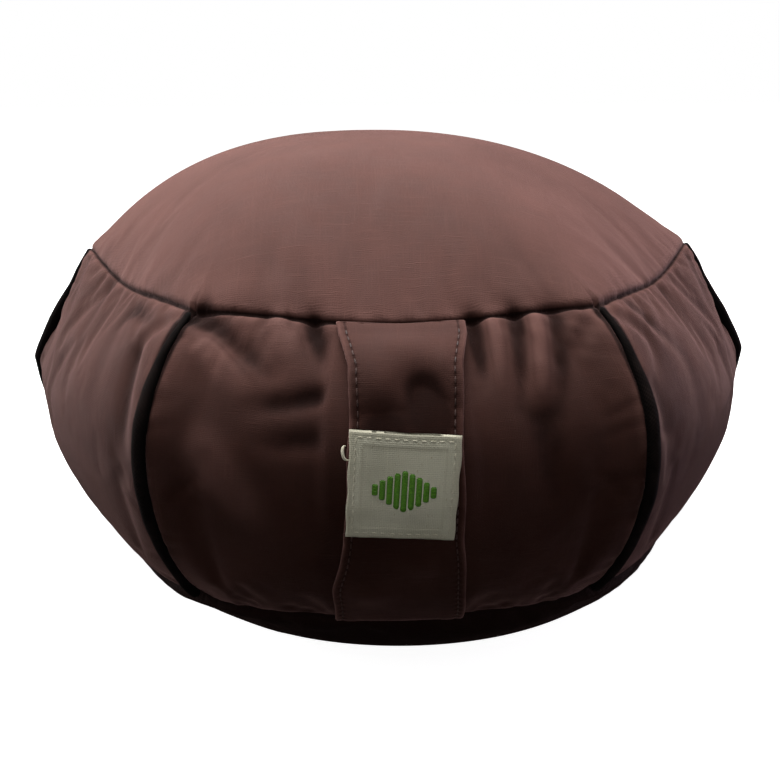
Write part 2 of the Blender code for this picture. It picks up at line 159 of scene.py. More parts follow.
BACK_CREASES = (
    (97.0, 0.0060, 106.0, 0.0320, 0.0065, 0.0015),
    (122.0, 0.0040, 119.0, 0.0400, 0.0080, 0.0012),
    (143.0, 0.0080, 136.0, 0.0360, 0.0065, 0.0014),
    (157.0, 0.0060, 165.0, 0.0300, 0.0065, 0.0015),
    (184.0, 0.0040, 181.0, 0.0360, 0.0080, 0.0012),
    (203.0, 0.0080, 195.0, 0.0380, 0.0065, 0.0014),
    (218.0, 0.0060, 226.0, 0.0340, 0.0065, 0.0015),
    (238.0, 0.0040, 241.0, 0.0320, 0.0080, 0.0011),
    (262.0, 0.0080, 255.0, 0.0360, 0.0065, 0.0014),
)
CROWN_CREASES = (
    (-21.0, -0.0040, -19.0, -0.0420, 0.0066, 0.0006),
    (-14.0, -0.0030, -13.5, -0.0340, 0.0060, 0.0006),
    (-39.0, -0.0040, -36.0, -0.0360, 0.0066, 0.0006),
    (9.0, -0.0030, 10.0, -0.0300, 0.0060, 0.0005),
    (24.0, -0.0040, 22.0, -0.0360, 0.0066, 0.0006),
    (52.0, -0.0040, 49.0, -0.0340, 0.0072, 0.0006),
    (-75.0, -0.0040, -71.0, -0.0360, 0.0072, 0.0006),
    (110.0, -0.0040, 113.0, -0.0380, 0.0077, 0.0006),
    (172.0, -0.0040, 169.0, -0.0360, 0.0077, 0.0006),
    (236.0, -0.0040, 239.0, -0.0340, 0.0077, 0.0006),
)
UNROLL_RADIUS = 0.182
CREASE_FADE = 0.75
BESIDE_STRAP = (0.025, 0.031)

# Small puckers drawn by the stitches: how many, and the low and high of length, half width and depth.
TOP_PUCKERS = (84, 0.006, 0.022, 0.0013, 0.0026, 0.00020, 0.00060)
CROWN_PUCKERS = (64, 0.006, 0.020, 0.0015, 0.0030, 0.00010, 0.00028)
BOTTOM_PUCKERS = (72, 0.006, 0.018, 0.0014, 0.0028, 0.00020, 0.00055)
CORD_PUCKERS = (84, 0.006, 0.020, 0.0013, 0.0026, 0.00020, 0.00060)

# The carry strap.
STRAP_THICKNESS = 0.0020
STRAP_CLEARANCE = 0.0004
STRAP_END_GAP = 0.0012
STRAP_END_TUCK = 0.0060
STRAP_SLACK = 0.0044
STRAP_SLACK_SPAN = (0.0005, 0.0440)
STRAP_ROWS = 180
STRAP_COLUMNS = 44
STRAP_HEM = 0.0085
STRAP_HEM_RISE = 0.00030
STRAP_STITCH_IN = 0.0030
STRAP_STITCH_PITCH = 0.0034
STRAP_STITCH_LENGTH = 0.0025
# down, left edge, right edge
STRAP_EDGES = (
    (0.000, -0.0225, 0.0252),
    (0.008, -0.0215, 0.0252),
    (0.022, -0.0172, 0.0230),
    (0.042, -0.0170, 0.0224),
    (0.085, -0.0200, 0.0232),
    (0.110, -0.0245, 0.0256),
    (0.140, -0.0252, 0.0262),
)
# across, down, half width, half height, rise
STRAP_RUMPLES = (
    (0.0085, 0.0295, 0.0072, 0.0070, -0.0040),
    (0.0125, 0.0400, 0.0075, 0.0070, -0.0045),
    (-0.0065, 0.0300, 0.0060, 0.0100, 0.0014),
    (-0.0050, 0.0420, 0.0080, 0.0062, -0.0040),
    (0.0020, 0.0130, 0.0150, 0.0070, 0.0012),
    (0.0080, 0.0950, 0.0060, 0.0060, 0.0012),
    (-0.0110, 0.1120, 0.0070, 0.0080, 0.0014),
    (0.0140, 0.0220, 0.0040, 0.0090, 0.0008),
    (0.0030, 0.0370, 0.0026, 0.0060, 0.0010),
)

# The label, its folded edge and its stitches.
LABEL_WIDTH = 0.0379
LABEL_HEIGHT = 0.0368
LABEL_THICKNESS = 0.0009
LABEL_CLEARANCE = 0.0003
LABEL_ACROSS = 0.0012
LABEL_DOWN = 0.0625
LABEL_TURN = math.radians(-3.7)
LABEL_COLUMNS = 56
LABEL_HEM = 0.0048
LABEL_HEM_RISE = 0.00022
LABEL_STITCH_IN = 0.0022
LABEL_STITCH_PITCH = 0.0029
LABEL_STITCH_LENGTH = 0.0021
LABEL_TOP_LIFT = 0.0025

# The label's stitched motif: upright bars side by side, tallest in the middle.
BAR_HEIGHTS = (0.0040, 0.0070, 0.0100, 0.0122, 0.0140, 0.0122, 0.0100, 0.0070, 0.0040)
BAR_PITCH = 0.0025
BAR_WIDTH = 0.0022
BAR_RISE = 0.00045
MOTIF_ACROSS = 0.0004
MOTIF_BELOW = 0.0005


def smooth_step(low, high, value):
    """Rises from 0 at low to 1 at high with level ends: 3s^2 - 2s^3 of the share s."""
    share = np.clip((value - low) / (high - low), 0.0, 1.0)
    return share * share * (3 - 2 * share)


def turn_in_panel(azimuth):
    """The turn from the middle of the panel that holds an azimuth."""
    return (azimuth + PANEL_TURN / 2) % PANEL_TURN - PANEL_TURN / 2


def side_share(azimuth):
    """How near a place is to a side seam: the square of 2|sin| - 1, and 0 on the front and back."""
    return np.clip(2 * np.abs(np.sin(azimuth)) - 1, 0.0, 1.0) ** 2


def true_azimuth(azimuth):
    """The real azimuth of an even one: the side seams move forward, and the front and back stay."""
    return azimuth - SIDE_SEAM_SHIFT * side_share(azimuth) * np.sign(np.sin(azimuth))


def meridian(azimuth, drop):
    """Radius at the rings' corners, height and bow: power curves between the named sizes."""
    inward = np.clip(1 + drop, 0.0, 1.0)
    height = TOP_SEAM_HEIGHT + (BOTTOM_SEAM_HEIGHT - TOP_SEAM_HEIGHT) * np.clip(drop, 0.0, 1.0)
    above = np.clip((height - WIDE_HEIGHT) / (TOP_SEAM_HEIGHT - WIDE_HEIGHT), 0.0, 1.0)
    below = np.clip((WIDE_HEIGHT - height) / (WIDE_HEIGHT - BOTTOM_SEAM_HEIGHT), 0.0, 1.0)
    power = UPPER_POWER + (SIDE_UPPER_POWER - UPPER_POWER) * side_share(azimuth)
    wall = WIDE_RADIUS - (WIDE_RADIUS - TOP_SEAM_RADIUS) * above**power
    wall = wall - (WIDE_RADIUS - BOTTOM_SEAM_RADIUS) * below**LOWER_POWER
    tuck = np.clip(drop - 1, 0.0, 1.0)
    under = BOTTOM_SEAM_RADIUS - (BOTTOM_SEAM_RADIUS - FOOT_RADIUS) * tuck**UNDER_POWER
    foot = FOOT_RADIUS * np.clip(3 - drop, 0.0, 1.0)
    radius = np.select([drop < 0, drop > 2, drop > 1], [TOP_SEAM_RADIUS * inward, foot, under], wall)
    crown = height + CROWN_RISE * (1 - inward**CROWN_POWER)
    height = np.select([drop < 0, drop > 1], [crown, BOTTOM_SEAM_HEIGHT * (1 - tuck)], height)
    bow = WALL_BOW + (TOP_BOW - WALL_BOW) * above
    crown_bow = 1 - (1 - TOP_BOW) * inward**CROWN_ROUNDING
    under_bow = WALL_BOW + (FOOT_BOW - WALL_BOW) * tuck
    bow = np.select([drop < 0, drop > 1], [crown_bow, under_bow], bow)
    return radius, height, bow


def plain_cover(azimuth, drop):
    """Points of the cover before seams: rings whose radius lies between a hexagon's and a circle's.

    The hexagon's radius is cos(30) over the cosine of the turn; away from the wall it fades into a
    cosine wave with the same corners and flats, so that the crown and the foot lose their edges.
    The top seam sags as a cosine in each panel, and the crown and the foot lean to one side.
    """
    radius, height, bow = meridian(azimuth, drop)
    turn = turn_in_panel(azimuth)
    narrow = math.cos(PANEL_TURN / 2)
    inward = np.clip(1 + drop, 0.0, 1.0)
    tuck = np.clip(drop - 1, 0.0, 1.0)
    sharp = inward**CROWN_CORNER_POWER * (1 - tuck) ** UNDER_CORNER_POWER
    soft = (1 + narrow) / 2 - (1 - narrow) / 2 * np.cos(PANELS * turn)
    hexagon = sharp * narrow / np.cos(turn) + (1 - sharp) * soft
    radius = radius * (bow + (1 - bow) * hexagon)
    height = height - SEAM_SAG * (1 + np.cos(PANELS * turn)) / 2 * np.exp(-((drop / SEAM_SAG_SPAN) ** 2))
    true = true_azimuth(azimuth)
    lean = CROWN_LEAN * (1 - inward**2) + FOOT_LEAN * tuck
    return np.stack([radius * np.sin(true) + lean, -radius * np.cos(true), height], axis=-1)


def cover_normals(azimuth, drop):
    """Outward directions: the cross product of the slopes down and round the plain cover."""
    turn = turn_in_panel(azimuth)
    limit = PANEL_TURN / 2 - SLOPE_STEP
    inside = azimuth - turn + np.clip(turn, -limit, limit)
    around = plain_cover(inside + SLOPE_STEP / 2, drop) - plain_cover(inside - SLOPE_STEP / 2, drop)
    true = true_azimuth(azimuth)
    level = np.stack([np.cos(true), np.sin(true), np.zeros_like(true)], axis=-1)
    around = np.where((np.abs(turn) > limit)[..., None], level, around)
    side = np.where(drop <= 0, -SLOPE_STEP, SLOPE_STEP)
    start = np.clip(drop, -1 + SLOPE_STEP, 2 - SLOPE_STEP)
    down = plain_cover(azimuth, start + side) - plain_cover(azimuth, start)
    down = down * np.sign(side)[..., None]
    normal = np.cross(down, around)
    normal = normal / np.linalg.norm(normal, axis=-1, keepdims=True)
    return np.where((drop > 2)[..., None], np.array([0.0, 0.0, -1.0]), normal)


def length_of(low, high):
    """Drops between two ends, and the length of cover from the first to each, at the front."""
    drops = np.linspace(low, high, 400)
    steps = np.linalg.norm(np.diff(plain_cover(np.zeros_like(drops), drops), axis=0), axis=1)
    return drops, np.concatenate([[0.0], np.cumsum(steps)])


WALL_DROPS, WALL_LENGTHS = length_of(0.0, 1.0)
WALL_LENGTH = float(WALL_LENGTHS[-1])
CROWN_LENGTH = float(length_of(-1.0, 0.0)[1][-1])
UNDER_LENGTH = float(length_of(1.0, 2.0)[1][-1])


def down_at(drop):
    """Metres of cover from the top seam: negative on the crown."""
    past = np.where(drop < 0, drop * CROWN_LENGTH, np.clip(drop - 1, 0.0, None) * UNDER_LENGTH)
    return np.interp(drop, WALL_DROPS, WALL_LENGTHS) + past


def drop_at(down):
    """The drop on the wall that is some metres of cover below the top seam."""
    return np.interp(down, WALL_LENGTHS, WALL_DROPS)


def seam_distances(azimuth, drop):
    """Metres from the nearest corded seam, and from the nearer of the two round seams."""
    aside = (PANEL_TURN / 2 - np.abs(turn_in_panel(azimuth))) * meridian(azimuth, drop)[0]
    down = down_at(drop)
    return aside, np.minimum(np.abs(down), np.abs(down - WALL_LENGTH))


def mesh_object(name, points, faces, smooth=True):
    """An object at the origin from an array of points and an array of faces."""
    mesh = bpy.data.meshes.new(name)
    mesh.from_pydata(points.tolist(), [], [face.tolist() for face in faces])
    mesh.validate()
    if smooth:
        mesh.shade_smooth()
    thing = bpy.data.objects.new(name, mesh)
    bpy.context.scene.collection.objects.link(thing)
    return thing


def grid_faces(rows, columns, wrap=False):
    """Four-cornered faces of a grid whose points run along its rows, wound down then across."""
    across = columns if wrap else columns - 1
    row, column = np.meshgrid(np.arange(rows - 1), np.arange(across), indexing="ij")
    here = row * columns + column
    beside = row * columns + (column + 1) % columns
    return np.stack([here, here + columns, beside + columns, beside], axis=-1).reshape(-1, 4)


def capped_faces(rows, columns):
    """Faces of a wrapped grid closed by a point after its first row's start and one past its end.

    The two closing points come after the grid's own: first the one joined to the first row, then the
    one joined to the last.
    """
    here = np.arange(columns)
    beside = (here + 1) % columns
    last = (rows - 1) * columns
    top = np.column_stack([np.full(columns, rows * columns), here, beside])
    bottom = np.column_stack([np.full(columns, rows * columns + 1), last + beside, last + here])
    return [*grid_faces(rows, columns, True), *top, *bottom]


def simulated_swell(drops):
    """How far the filling pushes the sewn cover, as an array for each drop and even azimuth.

    The cover starts a little inside its place, is held along every seam and at its foot, has a
    share of spare cloth, and is blown out by an even pressure. What comes back is where it went,
    less where the plain cover is, with long moves cut down smoothly.
    """
    columns = np.arange(PANELS * PANEL_STEPS) * PANEL_TURN / PANEL_STEPS - PANEL_TURN / 2
    azimuths, drops = np.meshgrid(columns, drops)
    aside, along = seam_distances(azimuths, drops)
    near = np.where((drops >= 0) & (drops <= 1), np.minimum(aside, along), along)
    target = plain_cover(azimuths, drops)
    held = (near < 1e-5) | (drops >= 1.999)
    inset = np.select([drops < 0, drops > 1], [CROWN_INSET, UNDER_INSET], WALL_INSET)
    inset = inset * smooth_step(0.0, INSET_REACH, near) * (drops < 1.95)
    start = target - cover_normals(azimuths, drops) * inset[..., None]
    rows, columns = drops.shape
    poles = np.array([start[0].mean(axis=0), start[-1].mean(axis=0)])
    points = np.concatenate([start.reshape(-1, 3), poles])
    blown = mesh_object("blown_cover", points, capped_faces(rows, columns))
    sewn = blown.vertex_groups.new(name="sewn")
    sewn.add([*np.nonzero(held.ravel())[0].tolist(), rows * columns + 1], 1.0, "REPLACE")
    cloth = blown.modifiers.new("cloth", "CLOTH")
    cloth.settings.quality = 6
    cloth.settings.use_pressure = True
    cloth.settings.uniform_pressure_force = PRESSURE
    cloth.settings.vertex_group_mass = "sewn"
    cloth.settings.shrink_min = -SPARE_CLOTH
    cloth.settings.bending_stiffness = BENDING
    cloth.settings.air_damping = 2.0
    cloth.settings.effector_weights.gravity = 0.0
    cloth.collision_settings.use_collision = False
    for number in range(1, FRAMES + 1):
        bpy.context.scene.frame_set(number)
    shown = blown.evaluated_get(bpy.context.evaluated_depsgraph_get())
    moved = np.zeros(len(points) * 3, np.float32)
    shown.data.vertices.foreach_get("co", moved)
    moved = moved.reshape(-1, 3)[: rows * columns].reshape(rows, columns, 3).astype(float)
    bpy.data.objects.remove(blown)
    bpy.context.scene.frame_set(1)
    swell = moved - target
    length = np.linalg.norm(swell, axis=-1, keepdims=True)
    return swell * MOVE_LIMIT * np.tanh(length / MOVE_LIMIT) / np.maximum(length, 1e-9)


def cubic_rows(values, where):
    """Reads rows of an array at fractional places: Catmull-Rom between the four nearest rows."""
    last = len(values) - 1
    low = np.clip(np.floor(where).astype(int), 0, last - 1)
    share = (where - low).reshape(-1, *([1] * (values.ndim - 1)))
    a, b, c, d = (values[np.clip(low + step, 0, last)] for step in (-1, 0, 1, 2))
    curve = 2 * b + (c - a) * share + (2 * a - 5 * b + 4 * c - d) * share**2
    return (curve + (3 * b - a - 3 * c + d) * share**3) / 2


def coarse_drops():
    """Drops of the simulated rows: even along the crown, the wall and the turn under it."""
    crown = np.linspace(-1, 0, CROWN_STEPS + 1)[1:-1]
    wall = drop_at(np.linspace(0, WALL_LENGTH, WALL_STEPS + 1))
    under = np.linspace(1, 2, UNDER_STEPS + 1)[1:]
    return np.concatenate([crown, wall, under])


def fine_drops():
    """Drops of the final rows, drawn close together beside the two round seams."""
    near = SEAM_ROWS[-1]
    crown = np.linspace(-1, -near / CROWN_LENGTH, CROWN_ROWS + 1)[1:-1]
    above = -SEAM_ROWS[:0:-1] / CROWN_LENGTH
    wall = np.linspace(near, WALL_LENGTH - near, WALL_ROWS + 1)[1:-1]
    wall = drop_at(np.concatenate([SEAM_ROWS, wall, WALL_LENGTH - SEAM_ROWS[::-1]]))
    below = 1 + SEAM_ROWS[1:] / UNDER_LENGTH
    under = np.linspace(1 + near / UNDER_LENGTH, 2, UNDER_ROWS + 1)[1:]
    foot = np.linspace(2, 3, FOOT_ROWS + 1)[1:-1]
    return np.concatenate([crown, above, wall, below, under, foot])


def fine_columns():
    """Azimuths of the final columns, close together beside each corded seam, and their panels."""
    azimuths, panels = [], []
    for panel, count in enumerate(PANEL_COLUMNS):
        start = panel * PANEL_TURN - PANEL_TURN / 2
        near = SEAM_COLUMNS[-1]
        middle = np.linspace(near, PANEL_TURN - near, count + 1)[1:-1]
        turns = np.concatenate([SEAM_COLUMNS, middle, PANEL_TURN - SEAM_COLUMNS[:0:-1]])
        azimuths.append(start + turns)
        panels.append(np.full(len(turns), panel))
    return np.concatenate(azimuths), np.concatenate(panels)


def read_swell(swell, drops, azimuths, coarse):
    """The simulated push at every final row and column, read by curves through the coarse grid."""
    by_row = cubic_rows(swell, np.interp(drops, coarse, np.arange(len(coarse))))
    by_row = by_row * smooth_step(2.0, 1.95, drops)[:, None, None]
    ring = np.concatenate([by_row[:, -3:], by_row, by_row[:, :3]], axis=1)
    place = (azimuths + PANEL_TURN / 2) / (PANEL_TURN / PANEL_STEPS) + 3
    return np.swapaxes(cubic_rows(np.swapaxes(ring, 0, 1), place), 0, 1)


def cord_share(drop):
    """The cord's radius over its full radius: less at both ends."""
    head = CORD_END_SHARE + (1 - CORD_END_SHARE) * smooth_step(0.0, CORD_FULL_AT, drop)
    foot = CORD_FOOT_SHARE + (1 - CORD_FOOT_SHARE) * smooth_step(0.0, CORD_FULL_AT, 1 - drop)
    return np.minimum(head, foot)


def seam_draw(drop):
    """How far the corded seams are drawn in: from nothing at the top seam."""
    return SEAM_DRAW * smooth_step(0.0, SEAM_DRAW_FROM, drop)


def cord_lift(drop):
    """How far the cord's middle stands off the drawn-in cover: sunk where it starts."""
    return CORD_LIFT - CORD_END_DIP * smooth_step(CORD_RISEN_AT, 0.0, drop)


def seam_depth(azimuth, drop):
    """How deep the seams pull the cover in: bell curves, with a round groove under each cord."""
    aside, along = seam_distances(azimuth, drop)
    on_wall = smooth_step(-0.03, 0.0, drop) * smooth_step(1.10, 1.0, drop)
    draw = seam_draw(drop) * np.exp(-((aside / SEAM_DRAW_REACH) ** 2))
    groove_radius = CORD_RADIUS * cord_share(drop) + CORD_GAP
    groove = np.sqrt(np.clip(groove_radius**2 - aside**2, 0.0, None))
    groove = np.where(groove > 0, np.clip(groove - cord_lift(drop), 0.0, None), 0.0)
    return (draw + groove) * on_wall + SEAM_DEPTH * np.exp(-((along / SEAM_REACH) ** 2))


def behind_strap(azimuth, drop):
    """1 behind the strap, falling to 0 beside it and past its ends."""
    front = (azimuth + math.pi) % (2 * math.pi) - math.pi
    beside = smooth_step(*BESIDE_STRAP, np.abs(front) * UNROLL_RADIUS)
    return smooth_step(-0.04, 0.0, drop) * smooth_step(1.04, 1.0, drop) * (1 - beside)


def furrows(azimuth, drop, lines):
    """Depth of a list of creases on the flat cover.

    Each is a bell curve of the distance to its line, whose depth falls by 0.75 s squared, with s
    from 0 to 1 along the line.
    """
    down = down_at(drop)
    depth = np.zeros_like(down)
    for turn_from, down_from, turn_to, down_to, half_width, deep in lines:
        turn = (azimuth - math.radians(turn_from) + math.pi) % (2 * math.pi) - math.pi
        across = turn * UNROLL_RADIUS
        run = math.radians(turn_to - turn_from) * UNROLL_RADIUS
        fall = down_to - down_from
        along = (across * run + (down - down_from) * fall) / (run**2 + fall**2)
        along = np.clip(along, 0.0, 1.0)
        apart = np.hypot(across - along * run, down - down_from - along * fall)
        depth = depth + deep * (1 - CREASE_FADE * along**2) * np.exp(-((apart / half_width) ** 2))
    return depth


def puckers(seed, kind, start_at):
    """A list of short seeded creases that run away from a seam, in the creases' own terms."""
    count, short, long, thin, thick, faint, deep = kind
    draw = np.random.default_rng(seed)
    lines = []
    for number in range(count):
        place = (number + draw.uniform(0.1, 0.9)) / count
        length, width = draw.uniform(short, long), draw.uniform(thin, thick)
        depth, slant = draw.uniform(faint, deep), draw.uniform(-0.35, 0.35)
        lines.append((*start_at(place, length, slant), width, depth))
    return lines


def seam_puckers():
    """Every pucker: below and above the top seam, above the bottom seam, and beside the cords."""
    degrees = math.degrees(1 / UNROLL_RADIUS)

    def below_top(place, length, slant):
        turn = 360 * place
        return turn, 0.0012, turn + slant * length * degrees, 0.0012 + length

    def on_crown(place, length, slant):
        turn = 360 * place
        return turn, -0.0012, turn + slant * length * degrees, -0.0012 - length

    def above_bottom(place, length, slant):
        turn = 360 * place
        return turn, WALL_LENGTH - 0.0012, turn + slant * length * degrees, WALL_LENGTH - 0.0012 - length

    def beside_cord(place, length, slant):
        seam = math.floor(place * 12)
        side = 1 if seam % 2 else -1
        turn = (seam // 2) * 60 + 30 + side * 0.0042 * degrees
        down = 0.008 + (place * 12 - seam) * (WALL_LENGTH - 0.016)
        return turn, down, turn + side * length * degrees, down + slant * length

    return (
        puckers(3, TOP_PUCKERS, below_top)
        + puckers(5, CROWN_PUCKERS, on_crown)
        + puckers(8, BOTTOM_PUCKERS, above_bottom)
        + puckers(13, CORD_PUCKERS, beside_cord)
    )


def folds(azimuth, drop):
    """Depth of the creases and puckers, less of them behind the strap and none at the foot."""
    large = furrows(azimuth, drop, FRONT_CREASES + SIDE_CREASES + BACK_CREASES + CROWN_CREASES)
    small = furrows(azimuth, drop, seam_puckers())
    open_cloth = 1 - behind_strap(azimuth, drop)
    return (large + small) * open_cloth * smooth_step(1.8, 1.2, drop)


def cloth_map(mesh, drops, azimuths, panels):
    """Gives each face corner its place on the flat cut cloth, in metres.

    The crown and the foot are cut from one flat piece each, so their map is x and y from above;
    each side panel is mapped by its turn times the wide radius, and by how far down it is.
    """
    rows, columns = len(drops), len(azimuths)
    points = np.zeros(len(mesh.vertices) * 3)
    mesh.vertices.foreach_get("co", points)
    points = points.reshape(-1, 3)
    corners = np.zeros(len(mesh.loops), int)
    mesh.loops.foreach_get("vertex_index", corners)
    counts = np.zeros(len(mesh.polygons), int)
    mesh.polygons.foreach_get("loop_total", counts)
    face = np.repeat(np.arange(len(counts)), counts)
    first = grid_faces(rows, columns, True)[:, 0]
    ends = np.arange(columns)
    face_row = np.concatenate([first // columns, np.zeros(columns, int), np.full(columns, rows - 1)])[face]
    face_column = np.concatenate([first % columns, ends, ends])[face]
    wall = (drops[face_row] >= 0) & (drops[face_row] < 1)
    centre = true_azimuth(panels[face_column] * PANEL_TURN)
    turn = true_azimuth(azimuths[corners % columns]) - centre
    turn = (turn + math.pi) % (2 * math.pi) - math.pi
    row = np.clip(corners // columns, 0, rows - 1)
    side = np.stack([turn * WIDE_RADIUS + 0.3 * panels[face_column], -down_at(drops[row])], axis=-1)
    flat = points[corners][:, :2] + 2.0
    layer = mesh.uv_layers.new(name="cloth")
    layer.data.foreach_set("uv", np.where(wall[:, None], side, flat).astype(np.float32).ravel())


def point_values(mesh, name, values):
    """Stores one vector for each point of a mesh, for its material to read."""
    layer = mesh.attributes.new(name, "FLOAT_VECTOR", "POINT")
    layer.data.foreach_set("vector", values.astype(np.float32).ravel())


def build_cover():
    """The sewn cover over its filling: the plain cover, the simulated push, the folds and the seams.

    Comes back with a reader of how far it stands off the plain cover at any place on the front.
    """
    coarse = coarse_drops()
    drops = fine_drops()
    azimuths, panels = fine_columns()
    swell = simulated_swell(coarse)
    azimuth_grid, drop_grid = np.meshgrid(azimuths, drops)
    share = np.where(drop_grid < 0, CROWN_PUSH, WALL_PUSH)
    share = share + (STRAP_PUSH - share) * behind_strap(azimuth_grid, drop_grid)
    push = read_swell(swell, drops, azimuths, coarse) * share[..., None]
    fold = folds(azimuth_grid, drop_grid)
    normals = cover_normals(azimuth_grid, drop_grid)
    plain = plain_cover(azimuth_grid, drop_grid)
    depth = seam_depth(azimuth_grid, drop_grid) + fold
    points = plain + push - normals * depth[..., None]
    points[..., 2] = np.where(drop_grid >= 2, 0.0, np.maximum(points[..., 2], 0.0))
    rows, columns = drop_grid.shape
    poles = np.array([points[0].mean(axis=0), points[-1].mean(axis=0)])
    faces = capped_faces(rows, columns)
    cover = mesh_object("cover", np.concatenate([points.reshape(-1, 3), poles]), faces)
    cloth_map(cover.data, drops, azimuths, panels)
    aside, along = seam_distances(azimuth_grid, drop_grid)
    aside = np.where((drop_grid >= 0) & (drop_grid <= 1), aside, 1.0)
    seams = np.stack([aside, along, true_azimuth(azimuth_grid) * WIDE_RADIUS], axis=-1).reshape(-1, 3)
    point_values(cover.data, "seams", np.concatenate([seams, [[1.0, 1.0, 0.0], [1.0, 1.0, 0.0]]]))
    relief = np.stack([fold, drop_grid, fold * 0], axis=-1).reshape(-1, 3)
    point_values(cover.data, "relief", np.concatenate([relief, [[0.0, -1.0, 0.0], [0.0, 3.0, 0.0]]]))
    # The foot's faces take a copy of the cloth with little sheen, a painted shade.
    on_foot = np.concatenate([np.repeat(drops[:-1] >= 1, columns), np.zeros(columns, bool), np.ones(columns, bool)])
    cover.data.materials.append(COVER_CLOTH)
    cover.data.materials.append(SHADED_FOOT_CLOTH)
    cover.data.polygons.foreach_set("material_index", on_foot.astype(np.int32))
    stands = ((points - plain) * normals).sum(axis=-1)

    def stand_off(azimuth, drop):
        row = np.interp(drop, drops, np.arange(rows))
        column = np.interp(azimuth, azimuths, np.arange(columns))
        low, left = np.minimum(row.astype(int), rows - 2), np.minimum(column.astype(int), columns - 2)
        fall, side = row - low, column - left
        upper = stands[low, left] * (1 - side) + stands[low, left + 1] * side
        lower = stands[low + 1, left] * (1 - side) + stands[low + 1, left + 1] * side
        return upper * (1 - fall) + lower * fall

    return cover, stand_off


def build_cord(name, seam):
    """One length of piping: a round cord in its cloth, from the top seam to the bottom one.

    Its radius is the cord's, times its share at that height, times 1 plus small seeded waves along
    it and a slanting wave round it where the bias cloth twists.
    """
    draw = np.random.default_rng(40 + seam)
    drops = drop_at(np.linspace(*CORD_ENDS, CORD_RINGS) * WALL_LENGTH)
    azimuth = np.full_like(drops, (seam + 0.5) * PANEL_TURN)
    normals = cover_normals(azimuth, drops)
    middle = plain_cover(azimuth, drops)
    tangents = np.gradient(middle, axis=0)
    tangents = tangents / np.linalg.norm(tangents, axis=1, keepdims=True)
    normals = normals - tangents * (normals * tangents).sum(axis=1, keepdims=True)
    normals = normals / np.linalg.norm(normals, axis=1, keepdims=True)
    sides = np.cross(tangents, normals)
    along = np.linspace(0, WALL_LENGTH, CORD_RINGS)
    waves = draw.uniform(0, 2 * math.pi, 6)
    sway = 0.00022 * np.sin(along / 0.0060 + waves[0]) + 0.00030 * np.sin(along / 0.0130 + waves[1])
    lift = cord_lift(drops) - seam_draw(drops) + 0.00018 * np.sin(along / 0.0085 + waves[2])
    middle = middle + normals * lift[:, None] + sides * sway[:, None]
    angle = np.linspace(0, 2 * math.pi, CORD_SIDES, endpoint=False)[None, :]
    lumps = 0.018 * np.sin(along / 0.0031 + waves[3]) + 0.022 * np.sin(along / 0.0074 + waves[4])
    twist = 0.016 * np.sin(3 * angle + along[:, None] / 0.0023 + waves[5])
    ends = np.minimum(1.0, np.sqrt(np.clip(np.minimum(along, WALL_LENGTH - along) / 0.0012, 0.15, 1.0)))
    radius = CORD_RADIUS * (cord_share(drops) * (1 + lumps) * ends)[:, None] * (1 + twist)
    ring = sides[:, None, :] * np.cos(angle)[..., None] + normals[:, None, :] * np.sin(angle)[..., None]
    points = middle[:, None, :] + ring * radius[..., None]
    poles = middle[[0, -1]] + tangents[[0, -1]] * np.array([[-0.0003], [0.0003]])
    faces = capped_faces(CORD_RINGS, CORD_SIDES)
    cord = mesh_object(name, np.concatenate([points.reshape(-1, 3), poles]), faces)
    wrap = np.stack([along[:, None] + 0 * angle, angle * CORD_RADIUS + 0 * along[:, None], 0 * radius], axis=-1)
    ends = [[0.0, 0.0, 0.0], [WALL_LENGTH, 0.0, 0.0]]
    point_values(cord.data, "wrap", np.concatenate([wrap.reshape(-1, 3), ends]))
    return cord


def on_front(across, down, lift):
    """Points some lift above the plain cover, at metres across and down on the front."""
    across, down, lift = np.broadcast_arrays(across, down, lift)
    drop = drop_at(down)
    radius = -plain_cover(np.zeros_like(drop), drop)[..., 1]
    azimuth = across / radius
    return plain_cover(azimuth, drop) + cover_normals(azimuth, drop) * lift[..., None]


def cover_below(across, down):
    """How far the finished cover stands off the plain one, at metres across and down."""
    drop = drop_at(down)
    radius = -plain_cover(np.zeros_like(drop), drop)[..., 1]
    return stand_off(across / radius, drop)


def smoothed(values, reach):
    """A grid's running highest value, and then its running mean, over some cells each way."""
    for axis in (0, 1):
        for pick in (np.max, np.mean):
            padded = np.concatenate(
                [np.repeat(values.take([0], axis), reach, axis), values, np.repeat(values.take([-1], axis), reach, axis)],
                axis,
            )
            windows = np.lib.stride_tricks.sliding_window_view(padded, 2 * reach + 1, axis)
            values = pick(windows, axis=-1)
    return values


STRAP_DOWNS = np.linspace(0.0, 1.0, STRAP_ROWS)
STRAP_ACROSS = np.linspace(-0.030, 0.030, 61)


def strap_rumples(across, down):
    """How high the strap's rumples rise in all, and how deep the hollows among them are."""
    rise, hollow = 0.0 * down, 0.0 * down
    for middle, deep, half_width, half_height, height in STRAP_RUMPLES:
        bell = np.exp(-(((across - middle) / half_width) ** 2) - ((down - deep) / half_height) ** 2)
        rise = rise + height * bell
        hollow = hollow + max(-height, 0.0) * bell
    return rise, hollow


def strap_rest():
    """How high the strap's inner face lies, on a grid of downs and acrosses: over the real cover."""
    downs = STRAP_DOWNS * WALL_LENGTH
    down, across = np.meshgrid(downs, STRAP_ACROSS, indexing="ij")
    lying = smoothed(cover_below(across, down), 2)
    top, low = STRAP_SLACK_SPAN
    share = np.clip((down - top) / (low - top), 0.0, 1.0)
    rise = STRAP_SLACK * np.sin(math.pi * share) ** 2 + strap_rumples(across, down)[0]
    return lying + STRAP_CLEARANCE + np.clip(rise, 0.0, None)


